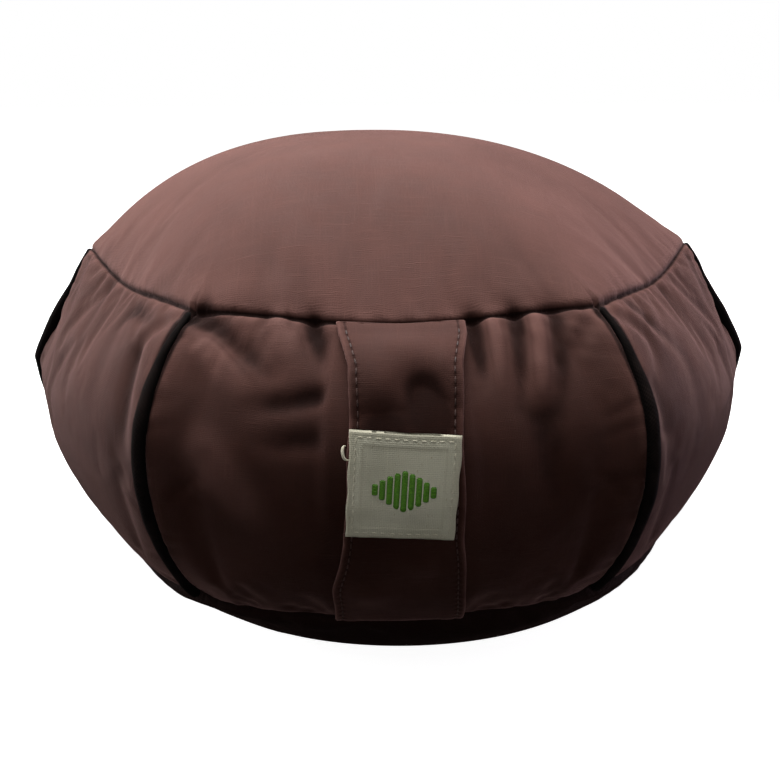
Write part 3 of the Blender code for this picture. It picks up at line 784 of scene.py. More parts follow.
def read_grid(grid, across, down):
    """A value of the strap's resting grid at metres across and down, read between four cells."""
    row = np.clip(down / WALL_LENGTH, 0, 1) * (STRAP_ROWS - 1)
    column = np.interp(across, STRAP_ACROSS, np.arange(len(STRAP_ACROSS)))
    low = np.minimum(row.astype(int), STRAP_ROWS - 2)
    left = np.minimum(column.astype(int), len(STRAP_ACROSS) - 2)
    fall, side = row - low, column - left
    upper = grid[low, left] * (1 - side) + grid[low, left + 1] * side
    lower = grid[low + 1, left] * (1 - side) + grid[low + 1, left + 1] * side
    return upper * (1 - fall) + lower * fall


def strap_edges(down):
    """The strap's left and right edges at each down, as metres across."""
    downs, lefts, rights = np.array(STRAP_EDGES).T
    wave = 0.00025 * np.sin(down / 0.0047) + 0.00020 * np.sin(down / 0.0111 + 1.0)
    return np.interp(down, downs, lefts) + wave, np.interp(down, downs, rights) + 0.8 * wave


def strap_outer(across, down):
    """How high the strap's outer face lies: its rest, its thickness, its hems and their stitch lines."""
    left, right = strap_edges(down)
    inside = np.minimum(across - left, right - across)
    hem = STRAP_HEM_RISE * smooth_step(STRAP_HEM + 0.0006, STRAP_HEM - 0.0006, inside)
    stitch = 0.00022 * np.exp(-(((inside - STRAP_STITCH_IN) / 0.0009) ** 2))
    end = smooth_step(0.0, STRAP_END_TUCK, np.minimum(down, WALL_LENGTH - down) + 0.0012)
    thick = STRAP_THICKNESS * (0.55 + 0.45 * end)
    return read_grid(REST, across, down) + thick + hem - stitch


def sheet_loop(columns, edge_share, arc_steps):
    """A flat closed loop: across from -1 to 1 on the outer side, round the edge, and back inside."""
    outer = np.linspace(-1, 1, columns) * (1 - edge_share)
    arc = np.linspace(math.pi / 2, -math.pi / 2, arc_steps + 2)[1:-1]
    right = 1 - edge_share + edge_share * np.cos(arc)
    aside = np.concatenate([outer, right, outer[::-1], -right[::-1]])
    rise = np.concatenate([np.ones(columns), 0.5 + 0.5 * np.sin(arc), np.zeros(columns), 0.5 - 0.5 * np.sin(arc)])
    return aside, rise


def build_strap():
    """The carry strap: a doubled strip, hemmed at both sides, laid on the cover from seam to seam."""
    downs = np.linspace(STRAP_END_GAP, WALL_LENGTH - STRAP_END_GAP, STRAP_ROWS)
    aside, rise = sheet_loop(STRAP_COLUMNS, 0.040, 4)
    left, right = strap_edges(downs)
    across = (left + right)[:, None] / 2 + (right - left)[:, None] / 2 * aside[None, :]
    down = np.broadcast_to(downs[:, None], across.shape)
    inner = read_grid(REST, across, down)
    lift = inner + (strap_outer(across, down) - inner) * rise[None, :]
    points = on_front(across, down, lift)
    poles = points[[0, -1]].mean(axis=1)
    rows, columns = across.shape
    strap = mesh_object("strap", np.concatenate([points.reshape(-1, 3), poles]), capped_faces(rows, columns))
    place = np.stack([across, down, (rise[None, :] > 0.5) * 1.0 + 0 * across], axis=-1).reshape(-1, 3)
    point_values(strap.data, "place", np.concatenate([place, [[0, 0, 0], [0, WALL_LENGTH, 0]]]))
    edge = np.minimum(across - left[:, None], right[:, None] - across).reshape(-1, 1)
    hollow = strap_rumples(across, down)[1].reshape(-1, 1)
    edges = np.concatenate([edge, hollow, edge * 0], axis=1)
    point_values(strap.data, "edges", np.concatenate([edges, [[0, 0, 0], [0, 0, 0]]]))
    return strap


def label_place(aside, below):
    """Metres across and down on the front, for metres aside and below in the label's own square."""
    across = LABEL_ACROSS + aside * math.cos(LABEL_TURN) + below * math.sin(LABEL_TURN)
    down = LABEL_DOWN - aside * math.sin(LABEL_TURN) + below * math.cos(LABEL_TURN)
    return across, down


def label_rest(aside, below):
    """How high the label's inner face lies: on the strap, flatter than it, its top standing off."""
    across, down = label_place(aside, below)
    left, right = strap_edges(down)
    on_strap = strap_outer(np.clip(across, left + 0.0045, right - 0.0045), down)
    top = np.clip(-below / (LABEL_HEIGHT / 2), 0.0, 1.0)
    wave = 0.00028 * np.sin(aside / 0.0052 + 0.6) * np.sin(below / 0.0068 + 0.9)
    curl = 0.0007 * smooth_step(0.024, 0.0285, np.hypot(aside, below)) * (aside < 0) * (below > 0)
    return on_strap + LABEL_CLEARANCE + LABEL_TOP_LIFT * top**2 + 0.0003 + wave + curl


def label_outer(aside, below):
    """How high the label's outer face lies: its folded edge, and the stitch line round it."""
    inside = np.minimum(LABEL_WIDTH / 2 - np.abs(aside), LABEL_HEIGHT / 2 - np.abs(below))
    hem = LABEL_HEM_RISE * smooth_step(LABEL_HEM + 0.0005, LABEL_HEM - 0.0005, inside)
    stitch = 0.00016 * np.exp(-(((inside - LABEL_STITCH_IN) / 0.0007) ** 2))
    return label_rest(aside, below) + LABEL_THICKNESS + hem - stitch


def build_label():
    """The sewn label: a square of heavy cotton with its edges folded under."""
    rows = LABEL_COLUMNS + 1
    aside, rise = sheet_loop(rows, 0.016, 3)
    halves = np.linspace(-1, 1, rows)
    wobble = 0.00018 * np.sin(halves * 9.0 + 0.5)[:, None]
    sideways = aside[None, :] * LABEL_WIDTH / 2 + wobble * np.abs(aside[None, :]) ** 8
    below = np.broadcast_to(halves[:, None], sideways.shape) * LABEL_HEIGHT / 2
    below = below + 0.00016 * np.sin(aside[None, :] * 7.0 + 1.1) * np.abs(halves[:, None]) ** 8
    close = np.sqrt(np.clip((1 - np.abs(halves)) / 0.02, 0.0, 1.0))[:, None]
    inner = label_rest(sideways, below)
    outer = label_outer(sideways, below)
    lift = inner + (outer - inner) * (0.5 + (rise[None, :] - 0.5) * close)
    across, down = label_place(sideways, below)
    points = on_front(across, down, lift)
    poles = points[[0, -1]].mean(axis=1)
    faces = capped_faces(rows, len(aside))
    label = mesh_object("woven_label", np.concatenate([points.reshape(-1, 3), poles]), faces)
    inside = np.minimum(LABEL_WIDTH / 2 - np.abs(sideways), LABEL_HEIGHT / 2 - np.abs(below))
    place = np.stack([sideways, below, inside], axis=-1).reshape(-1, 3)
    point_values(label.data, "place", np.concatenate([place, [[0, 0, 0], [0, 0, 0]]]))
    return label


def build_motif():
    """The label's motif: upright satin-stitched bars, each a low rounded ridge with rounded ends."""
    along = np.linspace(-1, 1, 25)[:, None]
    side = np.linspace(-1, 1, 9)[None, :]
    points, faces, places = [], [], []
    for number, height in enumerate(BAR_HEIGHTS):
        middle = (number - (len(BAR_HEIGHTS) - 1) / 2) * BAR_PITCH + MOTIF_ACROSS
        round_end = np.clip(1 - (np.clip(np.abs(along) * height / 2 - height / 2 + 0.0007, 0, None) / 0.0007) ** 2, 0, 1)
        half = BAR_WIDTH / 2 * (0.55 + 0.45 * np.sqrt(round_end))
        aside = middle + side * half + 0 * along
        below = MOTIF_BELOW + along * height / 2 + 0 * side
        dome = np.sqrt(np.clip(1 - side**2, 0, 1)) * (0.35 + 0.65 * np.sqrt(round_end))
        thread = 0.00004 * np.sin(below / 0.00016)
        lift = label_outer(aside, below) - 0.00008 + (BAR_RISE + thread) * dome
        start = sum(len(block) for block in points)
        points.append(on_front(*label_place(aside, below), lift).reshape(-1, 3))
        faces.append(grid_faces(*aside.shape) + start)
        places.append(np.stack([aside - middle, below, 0 * aside + number], axis=-1).reshape(-1, 3))
    motif = mesh_object("stitched_motif", np.concatenate(points), np.concatenate(faces))
    point_values(motif.data, "place", np.concatenate(places))
    return motif


def stitch_rows(name, starts, ends, ups, radius, sides=7):
    """A row of stitches in one mesh: each is a short thread that rises from the cloth and dips back.

    At the share t of its length, its middle is start + (end - start) t + up h(t), where h is the
    radius times (4t(1 - t))^0.5 less a third, and its radius shrinks towards both ends.
    """
    share = np.array([0.0, 0.08, 0.22, 0.40, 0.60, 0.78, 0.92, 1.0])
    arch = np.sqrt(4 * share * (1 - share))
    run = ends - starts
    ahead = run / np.linalg.norm(run, axis=1, keepdims=True)
    side = np.cross(ahead, ups)
    side = side / np.linalg.norm(side, axis=1, keepdims=True)
    middle = starts[:, None] + run[:, None] * share[None, :, None]
    middle = middle + ups[:, None] * (radius * (0.9 * arch - 0.45))[None, :, None]
    angle = np.linspace(0, 2 * math.pi, sides, endpoint=False)
    ring = side[:, None, None] * np.cos(angle)[None, None, :, None]
    ring = ring + ups[:, None, None] * np.sin(angle)[None, None, :, None]
    thick = radius * (0.25 + 0.75 * arch)
    points = middle[:, :, None] + ring * thick[None, :, None, None]
    count = len(share) * sides
    poles = middle[:, [0, -1]]
    block = np.concatenate([points.reshape(len(starts), count, 3), poles], axis=1)
    one = capped_faces(len(share), sides)
    faces = [face + number * (count + 2) for number in range(len(starts)) for face in one]
    thing = mesh_object(name, block.reshape(-1, 3), faces)
    lengthwise = np.broadcast_to((share * np.linalg.norm(run, axis=1)[:, None])[:, :, None], points.shape[:3])
    around = np.broadcast_to(angle[None, None, :] * radius, points.shape[:3])
    number = np.broadcast_to(np.arange(len(starts))[:, None, None], points.shape[:3])
    wrap = np.stack([lengthwise, around, number], axis=-1).reshape(len(starts), count, 3)
    wrap = np.concatenate([wrap, wrap[:, [0, -1]]], axis=1)
    point_values(thing.data, "wrap", wrap.reshape(-1, 3))
    return thing


def surface_stitches(name, place, surface, starts, ends, radius):
    """Stitches between pairs of places in a piece's own square, lying on its outer face."""
    def at(where):
        return on_front(*place(where[:, 0], where[:, 1]), surface(where[:, 0], where[:, 1]))

    low, high = at(starts), at(ends)
    across, down = place(*((starts + ends) / 2).T)
    ups = on_front(across, down, 0.001) - on_front(across, down, 0.0)
    ups = ups / np.linalg.norm(ups, axis=1, keepdims=True)
    return stitch_rows(name, low, high, ups, radius)


def strap_stitch_places(sign):
    """Ends of the stitches along one side of the strap: the left for -1 and the right for 1."""
    downs = np.arange(0.006, WALL_LENGTH - 0.006, STRAP_STITCH_PITCH)

    def at(down):
        left, right = strap_edges(down)
        inset = left + STRAP_STITCH_IN if sign < 0 else right - STRAP_STITCH_IN
        return np.stack([inset, down], axis=-1)

    return at(downs), at(downs + STRAP_STITCH_LENGTH)


def label_stitch_places():
    """Ends of the stitches round the label, side by side along its four edges."""
    wide, high = LABEL_WIDTH / 2 - LABEL_STITCH_IN, LABEL_HEIGHT / 2 - LABEL_STITCH_IN
    corners = np.array([[-wide, -high], [wide, -high], [wide, high], [-wide, high], [-wide, -high]])
    starts, ends = [], []
    for here, there in zip(corners, corners[1:]):
        run = np.linalg.norm(there - here)
        count = int(run // LABEL_STITCH_PITCH)
        shares = (np.arange(count) + 0.5) / count
        half = LABEL_STITCH_LENGTH / run / 2
        starts.append(here + (there - here) * (shares - half)[:, None])
        ends.append(here + (there - here) * (shares + half)[:, None])
    return np.concatenate(starts), np.concatenate(ends)


def build_tail():
    """A loose end of the label's thread, looped beside its left edge."""
    share = np.linspace(0, 1, 40)
    across = -0.0180 - 0.0016 * np.sin(share * math.pi) + 0.0010 * share
    down = 0.0482 + 0.0044 * share - 0.0008 * np.sin(share * 2 * math.pi)
    lift = strap_outer(np.maximum(across, strap_edges(down)[0] + 0.0004), down) + 0.0007
    lift = lift + 0.0012 * np.sin(share * math.pi)
    middle = on_front(across, down, lift)
    ups = on_front(across, down, lift + 0.001) - middle
    ups = ups / np.linalg.norm(ups, axis=1, keepdims=True)
    ahead = np.gradient(middle, axis=0)
    ahead = ahead / np.linalg.norm(ahead, axis=1, keepdims=True)
    side = np.cross(ahead, ups)
    angle = np.linspace(0, 2 * math.pi, 8, endpoint=False)[None, :, None]
    radius = 0.00055 * np.sqrt(np.clip(4 * share * (1 - share), 0.1, 1.0))[:, None, None]
    points = middle[:, None] + (side[:, None] * np.cos(angle) + ups[:, None] * np.sin(angle)) * radius
    faces = capped_faces(len(share), 8)
    thread = mesh_object("label_thread_end", np.concatenate([points.reshape(-1, 3), middle[[0, -1]]]), faces)
    wrap = np.zeros((len(share), 8, 3))
    wrap[..., 0] = (share * 0.008)[:, None]
    wrap[..., 1] = angle[..., 0] * 0.0004
    point_values(thread.data, "wrap", np.concatenate([wrap.reshape(-1, 3), np.zeros((2, 3))]))
    return thread


def finish_with(thing, material=None):
    """Puts a finish on a piece, and says that it rides on the cushion."""
    if material:
        thing.data.materials.append(material)
    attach(thing, "root")


class Wire:
    """A number socket in a finish; arithmetic on it adds the nodes that work it out."""

    def __init__(self, finish, socket):
        self.finish = finish
        self.socket = socket

    def maths(self, operation, *values):
        return self.finish.node("ShaderNodeMath", {"operation": operation}, dict(enumerate(values)))

    def __add__(self, other):
        return self.maths("ADD", self, other)

    def __radd__(self, other):
        return self.maths("ADD", other, self)

    def __sub__(self, other):
        return self.maths("SUBTRACT", self, other)

    def __rsub__(self, other):
        return self.maths("SUBTRACT", other, self)

    def __mul__(self, other):
        return self.maths("MULTIPLY", self, other)

    def __rmul__(self, other):
        return self.maths("MULTIPLY", other, self)

    def __gt__(self, other):
        return self.maths("GREATER_THAN", self, other)

    def __abs__(self):
        return self.maths("ABSOLUTE", self)

    def sine(self):
        return self.maths("SINE", self)

    def eased(self, low, high):
        """Rises from 0 at low to 1 at high with level ends; falls when low is above high."""
        settings = {"interpolation_type": "SMOOTHSTEP"}
        start, end = (0.0, 1.0) if low < high else (1.0, 0.0)
        inputs = {"Value": self, "From Min": min(low, high), "From Max": max(low, high)}
        inputs.update({"To Min": start, "To Max": end})
        return self.finish.node("ShaderNodeMapRange", settings, inputs)


class Finish:
    """A material, its nodes, and the sockets of its shader."""

    def __init__(self, name, **constants):
        self.material = bpy.data.materials.new(name)
        self.material.use_nodes = True
        self.tree = self.material.node_tree
        self.shader = self.tree.nodes["Principled BSDF"]
        for socket, value in constants.items():
            self.shader.inputs[socket.replace("_", " ")].default_value = value

    def node(self, kind, settings, inputs, output=0):
        """Adds one node: its settings first, then each socket's value or link."""
        node = self.tree.nodes.new(kind)
        for key, value in settings.items():
            setattr(node, key, value)
        for key, value in inputs.items():
            self.feed(node.inputs[key], value)
        return Wire(self, node.outputs[output])

    def feed(self, socket, value):
        if isinstance(value, Wire):
            self.tree.links.new(value.socket, socket)
        else:
            socket.default_value = value

    def surface(self, **values):
        for socket, value in values.items():
            self.feed(self.shader.inputs[socket.replace("_", " ")], value)

    def parts(self, vector):
        """The three numbers of a vector."""
        split = self.node("ShaderNodeSeparateXYZ", {}, {"Vector": vector}).socket.node
        return [Wire(self, output) for output in split.outputs]

    def cloth_place(self, name):
        return self.node("ShaderNodeUVMap", {"uv_map": name}, {})

    def stored(self, name):
        return self.node("ShaderNodeAttribute", {"attribute_name": name}, {}, "Vector")

    def joined(self, x, y, z=0.0):
        return self.node("ShaderNodeCombineXYZ", {}, {"X": x, "Y": y, "Z": z})

    def noise(self, vector, scale, detail=2.0, roughness=0.5):
        inputs = {"Vector": vector, "Scale": scale, "Detail": detail, "Roughness": roughness}
        return self.node("ShaderNodeTexNoise", {}, inputs)

    def blend(self, share, first, second, kind="MIX"):
        """Colour between two colours, or their product, by a share."""
        settings = {"data_type": "RGBA", "blend_type": kind, "clamp_factor": True}
        return self.node("ShaderNodeMix", settings, {0: share, 6: first, 7: second}, 2)

    def shaded(self, colour, light):
        """A colour times a number."""
        grey = self.joined(light, light, light)
        return self.blend(1.0, colour, grey, "MULTIPLY")

    def bumped(self, height):
        """The normal for a height in millimetres."""
        return self.node("ShaderNodeBump", {}, {"Strength": 1.0, "Distance": 0.001, "Height": height})


def rgb(red, green, blue):
    return (red, green, blue, 1.0)


def plain_weave(across, down, pitch):
    """Height of a plain weave, 0 to 1, and 1 where the lengthwise thread lies on top.

    With s = sin(pi across / pitch) and t = sin(pi down / pitch), the lengthwise thread is on top
    where s t > 0, with height |s|(0.6 + 0.4|t|); elsewhere the height is |t|(0.6 + 0.4|s|).
    """
    side = (across * (math.pi / pitch)).sine()
    line = (down * (math.pi / pitch)).sine()
    on_top = side * line > 0.0
    lengthwise = abs(side) * (0.6 + 0.4 * abs(line))
    crosswise = abs(line) * (0.6 + 0.4 * abs(side))
    return crosswise + on_top * (lengthwise - crosswise), on_top


def twill(across, down, pitch, slope=1.0):
    """Height of slanting ribs, 0 to 1: half of 1 + sin of the slanted distance over the pitch."""
    return 0.5 + 0.5 * ((across + slope * down) * (2 * math.pi / pitch)).sine()


def slubs(finish, across, down, seed):
    """Thicker threads both ways, about 0 to 1: noise stretched along each thread, the larger kept."""
    lengthwise = finish.noise(finish.joined(across * 1400.0, down * 60.0, seed), 1.0, 2.0)
    crosswise = finish.noise(finish.joined(across * 60.0, down * 1400.0, seed + 7.0), 1.0, 2.0)
    return lengthwise.maths("MAXIMUM", lengthwise, crosswise).eased(0.45, 0.85)


BROWN = rgb(0.0165, 0.0034, 0.0011)
# A pale brown for wear and painted light, and a dark brown for painted shade.
BROWN_WORN_AND_PAINTED_LIGHT = rgb(0.126, 0.0590, 0.0490)
BROWN_PAINTED_SHADE = rgb(0.0075, 0.0014, 0.0005)
BROWN_SHEEN = rgb(1.0, 0.58, 0.54)
BROWN_CONSTANTS = {"Sheen_Roughness": 0.35, "Sheen_Tint": BROWN_SHEEN, "Specular_IOR_Level": 0.12}
BROWN_NAP = 0.21
# Little sheen on the foot's copy of the cloth, as painted shade.
SHADED_FOOT_NAP = 0.02
WEAVE_PITCH = 0.00062
WEAVE_WANDER = 0.0035


def brown_cloth(finish, across, down, worn, deep, seed):
    """The brown cotton's colour, roughness and height, from a mask of wear and painted light, which pales it, and a
    mask of painted shade, which darkens it.
    """
    broad = finish.noise(finish.joined(across * 16.0, down * 16.0, seed), 1.0, 3.0).eased(0.30, 0.72)
    patch = finish.noise(finish.joined(across * 60.0, down * 60.0, seed + 3.0), 1.0, 4.0, 0.6).eased(0.32, 0.70)
    thread = slubs(finish, across, down, seed)
    wander = finish.noise(finish.joined(across * 70.0, down * 70.0, seed + 5.0), 1.0, 3.0) * WEAVE_WANDER
    height, on_top = plain_weave(across + wander, down - wander, WEAVE_PITCH)
    fluff = finish.noise(finish.joined(across * 900.0, down * 900.0, seed + 11.0), 1.0, 3.0)
    # worn pales the cloth, for real wear and for painted light.
    colour = finish.blend(0.14 * broad + 0.80 * worn, BROWN, BROWN_WORN_AND_PAINTED_LIGHT)
    # Painted shade, where deep says.
    colour = finish.blend(deep, colour, BROWN_PAINTED_SHADE)
    # Painted shade between the threads: the colour is darker where the weave lies low.
    light = 0.80 + 0.10 * broad + 0.10 * patch + 0.16 * thread + 0.10 * height + 0.05 * on_top
    colour = finish.shaded(colour, light)
    roughness = 0.80 + 0.10 * patch - 0.08 * worn + 0.06 * deep
    return colour, roughness, 0.075 * height + 0.060 * thread + 0.050 * fluff


def cover_cloth(name, nap):
    """Brown cotton on the cover: worn beside the seams, with a painted highlight on the ridges, painted top light
    towards the crown, and painted shade in the folds, at the seams and under the bottom seam.
    """
    finish = Finish(name, Sheen_Weight=nap, **BROWN_CONSTANTS)
    across, down, _ = finish.parts(finish.cloth_place("cloth"))
    aside, along, turn = finish.parts(finish.stored("seams"))
    fold, drop, _ = finish.parts(finish.stored("relief"))
    beside = abs(aside)
    rub = finish.noise(finish.joined(turn * 90.0, drop * 9.0, 4.0), 1.0, 3.0).eased(0.38, 0.66)
    # Painted highlight on the ridges of the folds.
    ridge = fold.eased(0.0, -0.0012)
    edge = abs(along).eased(0.0060, 0.0012) * 0.8 + beside.eased(0.0085, 0.0040) * 0.7
    # Painted top light: the cloth is paler on the crown and towards it, where the lamp above catches it.
    painted_top_light = drop.eased(0.50, -0.10) * 0.54 + drop.eased(0.0, -0.03) * 0.42
    # Painted shade in the folds, broken up by noise; it also takes away the painted top light.
    broken = finish.noise(finish.joined(turn * 110.0, drop * 11.0, 8.0), 1.0, 4.0, 0.6)
    hollow = (fold * (0.35 + 1.3 * broken)).eased(0.0002, 0.0025) * 0.85
    # worn is real wear beside the seams, plus the painted ridge highlight and the painted top light.
    worn = ridge * 0.50 + edge * rub * 0.5 + painted_top_light * (1 - hollow)
    # Painted shade along the round seams and in the grooves beside the cords.
    painted_seam_shade = abs(along).eased(0.0014, 0.0002) + beside.eased(0.0042, 0.0028)
    # Painted shade under the bottom seam, where the cover turns in towards the floor.
    under = drop.eased(0.955, 1.02)
    # deep is all painted shade: in the folds, at the seams and under the bottom seam.
    deep = hollow.maths("MINIMUM", hollow + painted_seam_shade + under, 1.0)
    uneven = finish.noise(finish.joined(turn * 180.0, drop * 2.0, 6.0), 1.0, 2.0)
    pull = (turn * (2 * math.pi / 0.0031)).sine() * uneven * abs(along).eased(0.0050, 0.0004) * 0.06
    colour, roughness, height = brown_cloth(finish, across, down, worn, deep, 1.0)
    finish.surface(Base_Color=colour, Roughness=roughness, Normal=finish.bumped(height + pull))
    return finish.material


def strap_cloth():
    """The same cotton on the carry strap: worn along its folded edges, dented at each stitch, with painted top
    light towards its top and painted shade in its hollows, on its inner face and along its stitch lines.
    """
    finish = Finish("strap_cloth", Sheen_Weight=BROWN_NAP, **BROWN_CONSTANTS)
    across, down, outer = finish.parts(finish.stored("place"))
    inside, sunk, _ = finish.parts(finish.stored("edges"))
    # Painted shade in the strap's hollows.
    hollow = sunk.eased(0.0010, 0.0030)
    rub = finish.noise(finish.joined(across * 160.0, down * 90.0, 9.0), 1.0, 3.0).eased(0.35, 0.62)
    # Painted top light: the strap is paler towards its top, less so in its hollows.
    painted_top_light = down.eased(0.062, -0.010) * 0.52 * (1 - 0.9 * hollow)
    # worn is real wear along the folded edges, plus the painted top light.
    worn = inside.eased(0.0022, 0.0) * (0.25 + 0.35 * rub) + painted_top_light
    beside_line = abs(inside - STRAP_STITCH_IN)
    # deep is painted shade along the stitch lines, on the strap's inner face and in its hollows.
    deep = beside_line.eased(0.0008, 0.0001) * 0.6 + (1 - outer) * 0.3 + hollow * 0.7
    dents = (down * (2 * math.pi / STRAP_STITCH_PITCH)).sine() * beside_line.eased(0.0022, 0.0004) * 0.07
    colour, roughness, height = brown_cloth(finish, across, down, worn, deep, 21.0)
    finish.surface(Base_Color=colour, Roughness=roughness, Normal=finish.bumped(height + dents))
    return finish.material


PIPING_RIB = 0.0012


def piping_cloth():
    """Black cotton cut on the slant round the cord: fine slanting ribs, greyer where it rubs."""
    finish = Finish("piping_cloth", Specular_IOR_Level=0.06)
    along, around, _ = finish.parts(finish.stored("wrap"))
    ribs = twill(along, around, PIPING_RIB)
    cross = twill(along, around, 1.6 * PIPING_RIB, -1.0)
    patch = finish.noise(finish.joined(along * 120.0, around * 90.0, 2.0), 1.0, 4.0, 0.6).eased(0.34, 0.70)
    outward = (around * (1 / CORD_RADIUS)).sine().eased(0.2, 1.0)
    worn = outward * patch
    colour = finish.blend(worn * 0.8, rgb(0.0030, 0.0019, 0.0016), rgb(0.0150, 0.0098, 0.0088))
    # Painted shade between the slanting ribs: the colour is darker in their grooves.
    colour = finish.shaded(colour, 0.55 + 0.50 * ribs + 0.25 * cross)
    height = 0.10 * ribs + 0.05 * cross + 0.08 * patch
    finish.surface(Base_Color=colour, Roughness=0.80 + 0.14 * patch, Normal=finish.bumped(height))
    return finish.material


def label_cloth():
    """Natural cotton tape on the label: coarse weave with painted shade between its threads, flecks, a little dirt
    along its folded edge, and painted shade along the hem's fold line.
    """
    finish = Finish("label_cloth", Sheen_Weight=0.08, Sheen_Roughness=0.5, Specular_IOR_Level=0.3)
    aside, below, inside = finish.parts(finish.stored("place"))
    height, on_top = plain_weave(aside, below, 0.00062)
    thread = slubs(finish, aside, below, 31.0)
    broad = finish.noise(finish.joined(aside * 70.0, below * 70.0, 33.0), 1.0, 3.0).eased(0.30, 0.72)
    fleck = finish.noise(finish.joined(aside * 1500.0, below * 500.0, 35.0), 1.0, 1.0).eased(0.68, 0.76)
    fold_line = abs(inside - LABEL_HEM).eased(0.0007, 0.0001)
    # Dirt along the edge, and painted shade along the hem's fold line.
    grime_and_painted_fold_shade = inside.eased(0.0030, 0.0) * 0.35 + fold_line * 0.25
    colour = finish.blend(broad, rgb(0.505, 0.487, 0.372), rgb(0.585, 0.566, 0.442))
    colour = finish.blend(grime_and_painted_fold_shade * (0.5 + 0.5 * broad), colour, rgb(0.34, 0.30, 0.20))
    colour = finish.blend(fleck * 0.5, colour, rgb(0.30, 0.22, 0.12))
    # Painted shade between the threads: the colour is darker where the weave lies low.
    colour = finish.shaded(colour, 0.84 + 0.10 * height + 0.10 * thread + 0.04 * on_top)
    bump = 0.10 * height + 0.06 * thread - 0.05 * fold_line
    finish.surface(Base_Color=colour, Roughness=0.86 - 0.08 * height, Normal=finish.bumped(bump))
    return finish.material


def twisted_thread(name, dark, light, pitch, source="wrap", sheen=0.1):
    """Twisted sewing thread: slanting plies, paler on top and darker between as painted shade, each stitch its own
    tone.
    """
    finish = Finish(name, Sheen_Weight=sheen, Sheen_Roughness=0.4, Specular_IOR_Level=0.5)
    along, around, number = finish.parts(finish.stored(source))
    plies = twill(along, around, pitch, 1.3)
    tone = finish.noise(finish.joined(number * 3.7, along * 300.0, 5.0), 1.0, 1.0).eased(0.30, 0.70)
    fuzz = finish.noise(finish.joined(along * 5000.0, around * 5000.0, number), 1.0, 2.0)
    # Painted shade between the plies, and each stitch's own tone.
    colour = finish.blend(0.55 * plies + 0.35 * tone, rgb(*dark), rgb(*light))
    height = 0.05 * plies + 0.02 * fuzz
    finish.surface(Base_Color=colour, Roughness=0.50 + 0.15 * tone, Normal=finish.bumped(height))
    return finish.material


def satin_thread():
    """Green embroidery thread laid side by side across each bar, with a split along its middle."""
    finish = Finish("green_thread", Sheen_Weight=0.03, Sheen_Roughness=0.3, Specular_IOR_Level=0.25)
    aside, below, number = finish.parts(finish.stored("place"))
    slant = 0.35 * abs(aside)
    strands = twill(below + slant, aside, 0.00050, 0.0)
    tone = finish.noise(finish.joined(aside * 400.0, below * 2300.0, number * 2.3), 1.0, 2.0).eased(0.30, 0.70)
    rim = abs(aside).eased(0.0007, 0.0011)
    # Painted shade between the strands, and each bar's own tone.
    colour = finish.blend(0.75 * strands + 0.25 * tone, rgb(0.030, 0.120, 0.004), rgb(0.100, 0.270, 0.012))
    # Painted shade on each bar's rounded sides.
    colour = finish.blend(rim * 0.6, colour, rgb(0.022, 0.080, 0.006))
    height = 0.14 * strands + 0.04 * tone
    finish.surface(Base_Color=colour, Roughness=0.42 + 0.16 * tone, Normal=finish.bumped(height))
    return finish.material


def floor_paint():
    """Matt white floor; it glows a little more away from the cushion, so it meets the sweep evenly."""
    finish = Finish("floor_paint", Emission_Strength=1.0, Specular_IOR_Level=0.0)
    place = finish.node("ShaderNodeTexCoord", {}, {}, "Object")
    x, y, _ = finish.parts(place)
    apart = (x * x + y * y).maths("SQRT", x * x + y * y)
    grain = finish.noise(place, 240.0, 3.0)
    glow = 0.90 + 0.12 * apart.eased(0.18, 0.60)
    finish.surface(
        Base_Color=finish.shaded(rgb(0.80, 0.80, 0.80), 0.97 + 0.05 * grain),
        Roughness=0.85 + 0.1 * grain,
        Emission_Color=finish.joined(glow, glow, glow),
        Normal=finish.bumped(0.05 * grain),
    )
    return finish.material


COVER_CLOTH = cover_cloth("cover_cloth", BROWN_NAP)
# The foot's copy of the cloth has little sheen: painted shade where the foot lies in shadow.
SHADED_FOOT_CLOTH = cover_cloth("shaded_foot_cloth", SHADED_FOOT_NAP)
STRAP_CLOTH = strap_cloth()
PIPING_CLOTH = piping_cloth()
LABEL_CLOTH = label_cloth()
BROWN_THREAD = twisted_thread("brown_thread", (0.016, 0.0045, 0.0025), (0.070, 0.0250, 0.0170), 0.0009, sheen=0.02)
CREAM_THREAD = twisted_thread("cream_thread", (0.36, 0.33, 0.23), (0.68, 0.65, 0.52), 0.0008)
GREEN_THREAD = satin_thread()
FLOOR_PAINT = floor_paint()


cover, stand_off = build_cover()
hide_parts("cushion")
finish_with(cover)

CORDS = (
    ("front_right_cord", "piping_front_right"),
    ("right_cord", "piping_right"),
    ("back_right_cord", "piping_back_right"),
    ("back_left_cord", "piping_back_left"),
    ("left_cord", "piping_left"),
    ("front_left_cord", "piping_front_left"),
)
for seam, (name, node) in enumerate(CORDS):
    cord = build_cord(name, seam)
    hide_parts(node)
    finish_with(cord, PIPING_CLOTH)

REST = strap_rest()
strap = build_strap()
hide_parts("carry_strap")
finish_with(strap, STRAP_CLOTH)
for side, name in ((-1, "strap_left_stitches"), (1, "strap_right_stitches")):
    starts, ends = strap_stitch_places(side)
    stitches = surface_stitches(name, lambda a, d: (a, d), strap_outer, starts, ends, 0.00030)
    finish_with(stitches, BROWN_THREAD)

label = build_label()
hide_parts("label")
finish_with(label, LABEL_CLOTH)
label_stitches = surface_stitches("label_stitches", label_place, label_outer, *label_stitch_places(), 0.00024)
finish_with(label_stitches, CREAM_THREAD)
motif = build_motif()
finish_with(motif, GREEN_THREAD)
tail = build_tail()
finish_with(tail, CREAM_THREAD)


def build_stage():
    """A pale floor. It gives no light back, so the lower front falls dark."""
    size = 6.0
    points = np.array([[-size, -size, 0], [size, -size, 0], [size, size, 0], [-size, size, 0]])
    floor = mesh_object("floor", points, np.array([[0, 1, 2, 3]]), smooth=False)
    floor.data.materials.append(FLOOR_PAINT)
    floor.visible_diffuse = False
    floor.visible_glossy = False


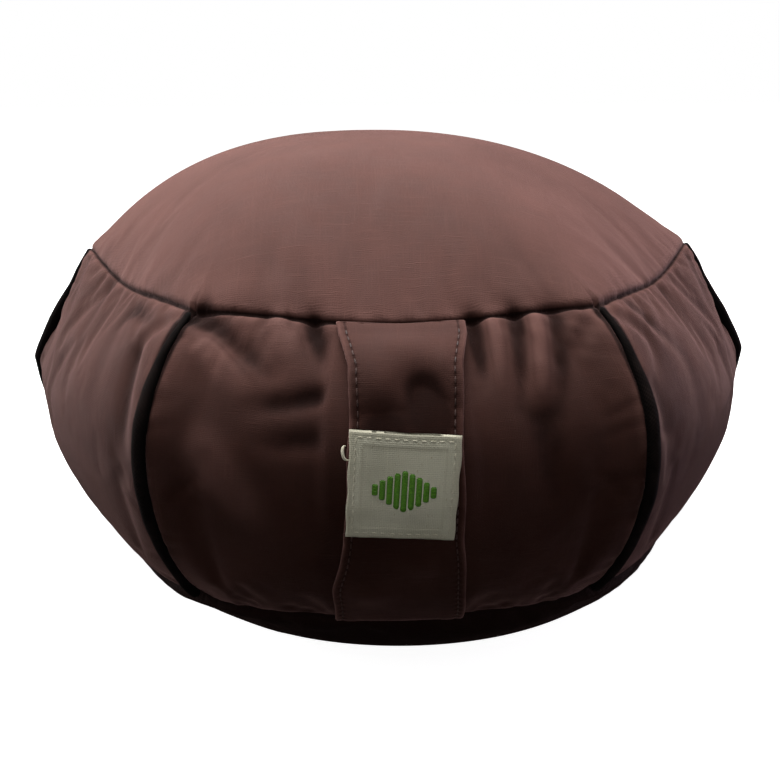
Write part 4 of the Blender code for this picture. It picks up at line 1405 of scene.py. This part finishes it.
def area_light(name, place, target, size, power, colour=(1, 1, 1)):
    """A soft square lamp."""
    lamp = bpy.data.lights.new(name, "AREA")
    lamp.energy = power
    lamp.size = size
    lamp.color = colour
    thing = bpy.data.objects.new(name, lamp)
    bpy.context.scene.collection.objects.link(thing)
    thing.location = place
    thing.rotation_euler = (Vector(target) - Vector(place)).to_track_quat("-Z", "Y").to_euler()
    return thing


def build_lights():
    """Softboxes above and to both sides, with little light on the front."""
    area_light("top_box", (-0.15, 0.20, 1.25), (0, 0, 0.1), 1.1, 38)
    area_light("left_box", (-1.1, 0.15, 0.12), (0, 0, 0.1), 0.8, 11.0, (1.0, 0.97, 0.97))
    area_light("right_box", (1.1, 0.15, 0.12), (0, 0, 0.1), 0.8, 7.0, (0.96, 0.83, 1.0))
    area_light("front_box", (0.0, -1.3, 0.45), (0, 0, 0.1), 0.7, 3.3)
    world = bpy.data.worlds.new("studio")
    world.use_nodes = True
    tree = world.node_tree
    background = tree.nodes["Background"]
    background.inputs["Strength"].default_value = 1.0
    ray = tree.nodes.new("ShaderNodeLightPath")
    mix = tree.nodes.new("ShaderNodeMix")
    mix.data_type = "RGBA"
    tree.links.new(ray.outputs["Is Camera Ray"], mix.inputs["Factor"])
    mix.inputs[6].default_value = (0.014, 0.012, 0.011, 1)
    mix.inputs[7].default_value = (1, 1, 1, 1)
    tree.links.new(mix.outputs[2], background.inputs["Color"])
    bpy.context.scene.world = world


ELEVATION = math.radians(22.035)
YAW = math.radians(0.968)
ROLL = 0.0062
DISTANCE = 0.4531
LENS = 36.23
TARGET_HEIGHT = 0.0662


def build_camera():
    """The camera, looking at the front from a little above, turned a third of a degree."""
    lens = bpy.data.cameras.new("camera")
    lens.lens = LENS
    lens.sensor_width = 36.0
    lens.clip_start = 0.01
    camera = bpy.data.objects.new("camera", lens)
    bpy.context.scene.collection.objects.link(camera)
    level = math.cos(ELEVATION)
    away = Vector((-math.sin(YAW) * level, -math.cos(YAW) * level, math.sin(ELEVATION)))
    camera.location = Vector((0, 0, TARGET_HEIGHT)) + away * DISTANCE
    look = (-away).to_track_quat("-Z", "Y").to_matrix()
    camera.rotation_euler = (look @ Matrix.Rotation(-ROLL, 3, "Z")).to_euler()
    bpy.context.scene.camera = camera


build_stage()
build_lights()
build_camera()
bpy.context.scene.view_settings.view_transform = "Standard"
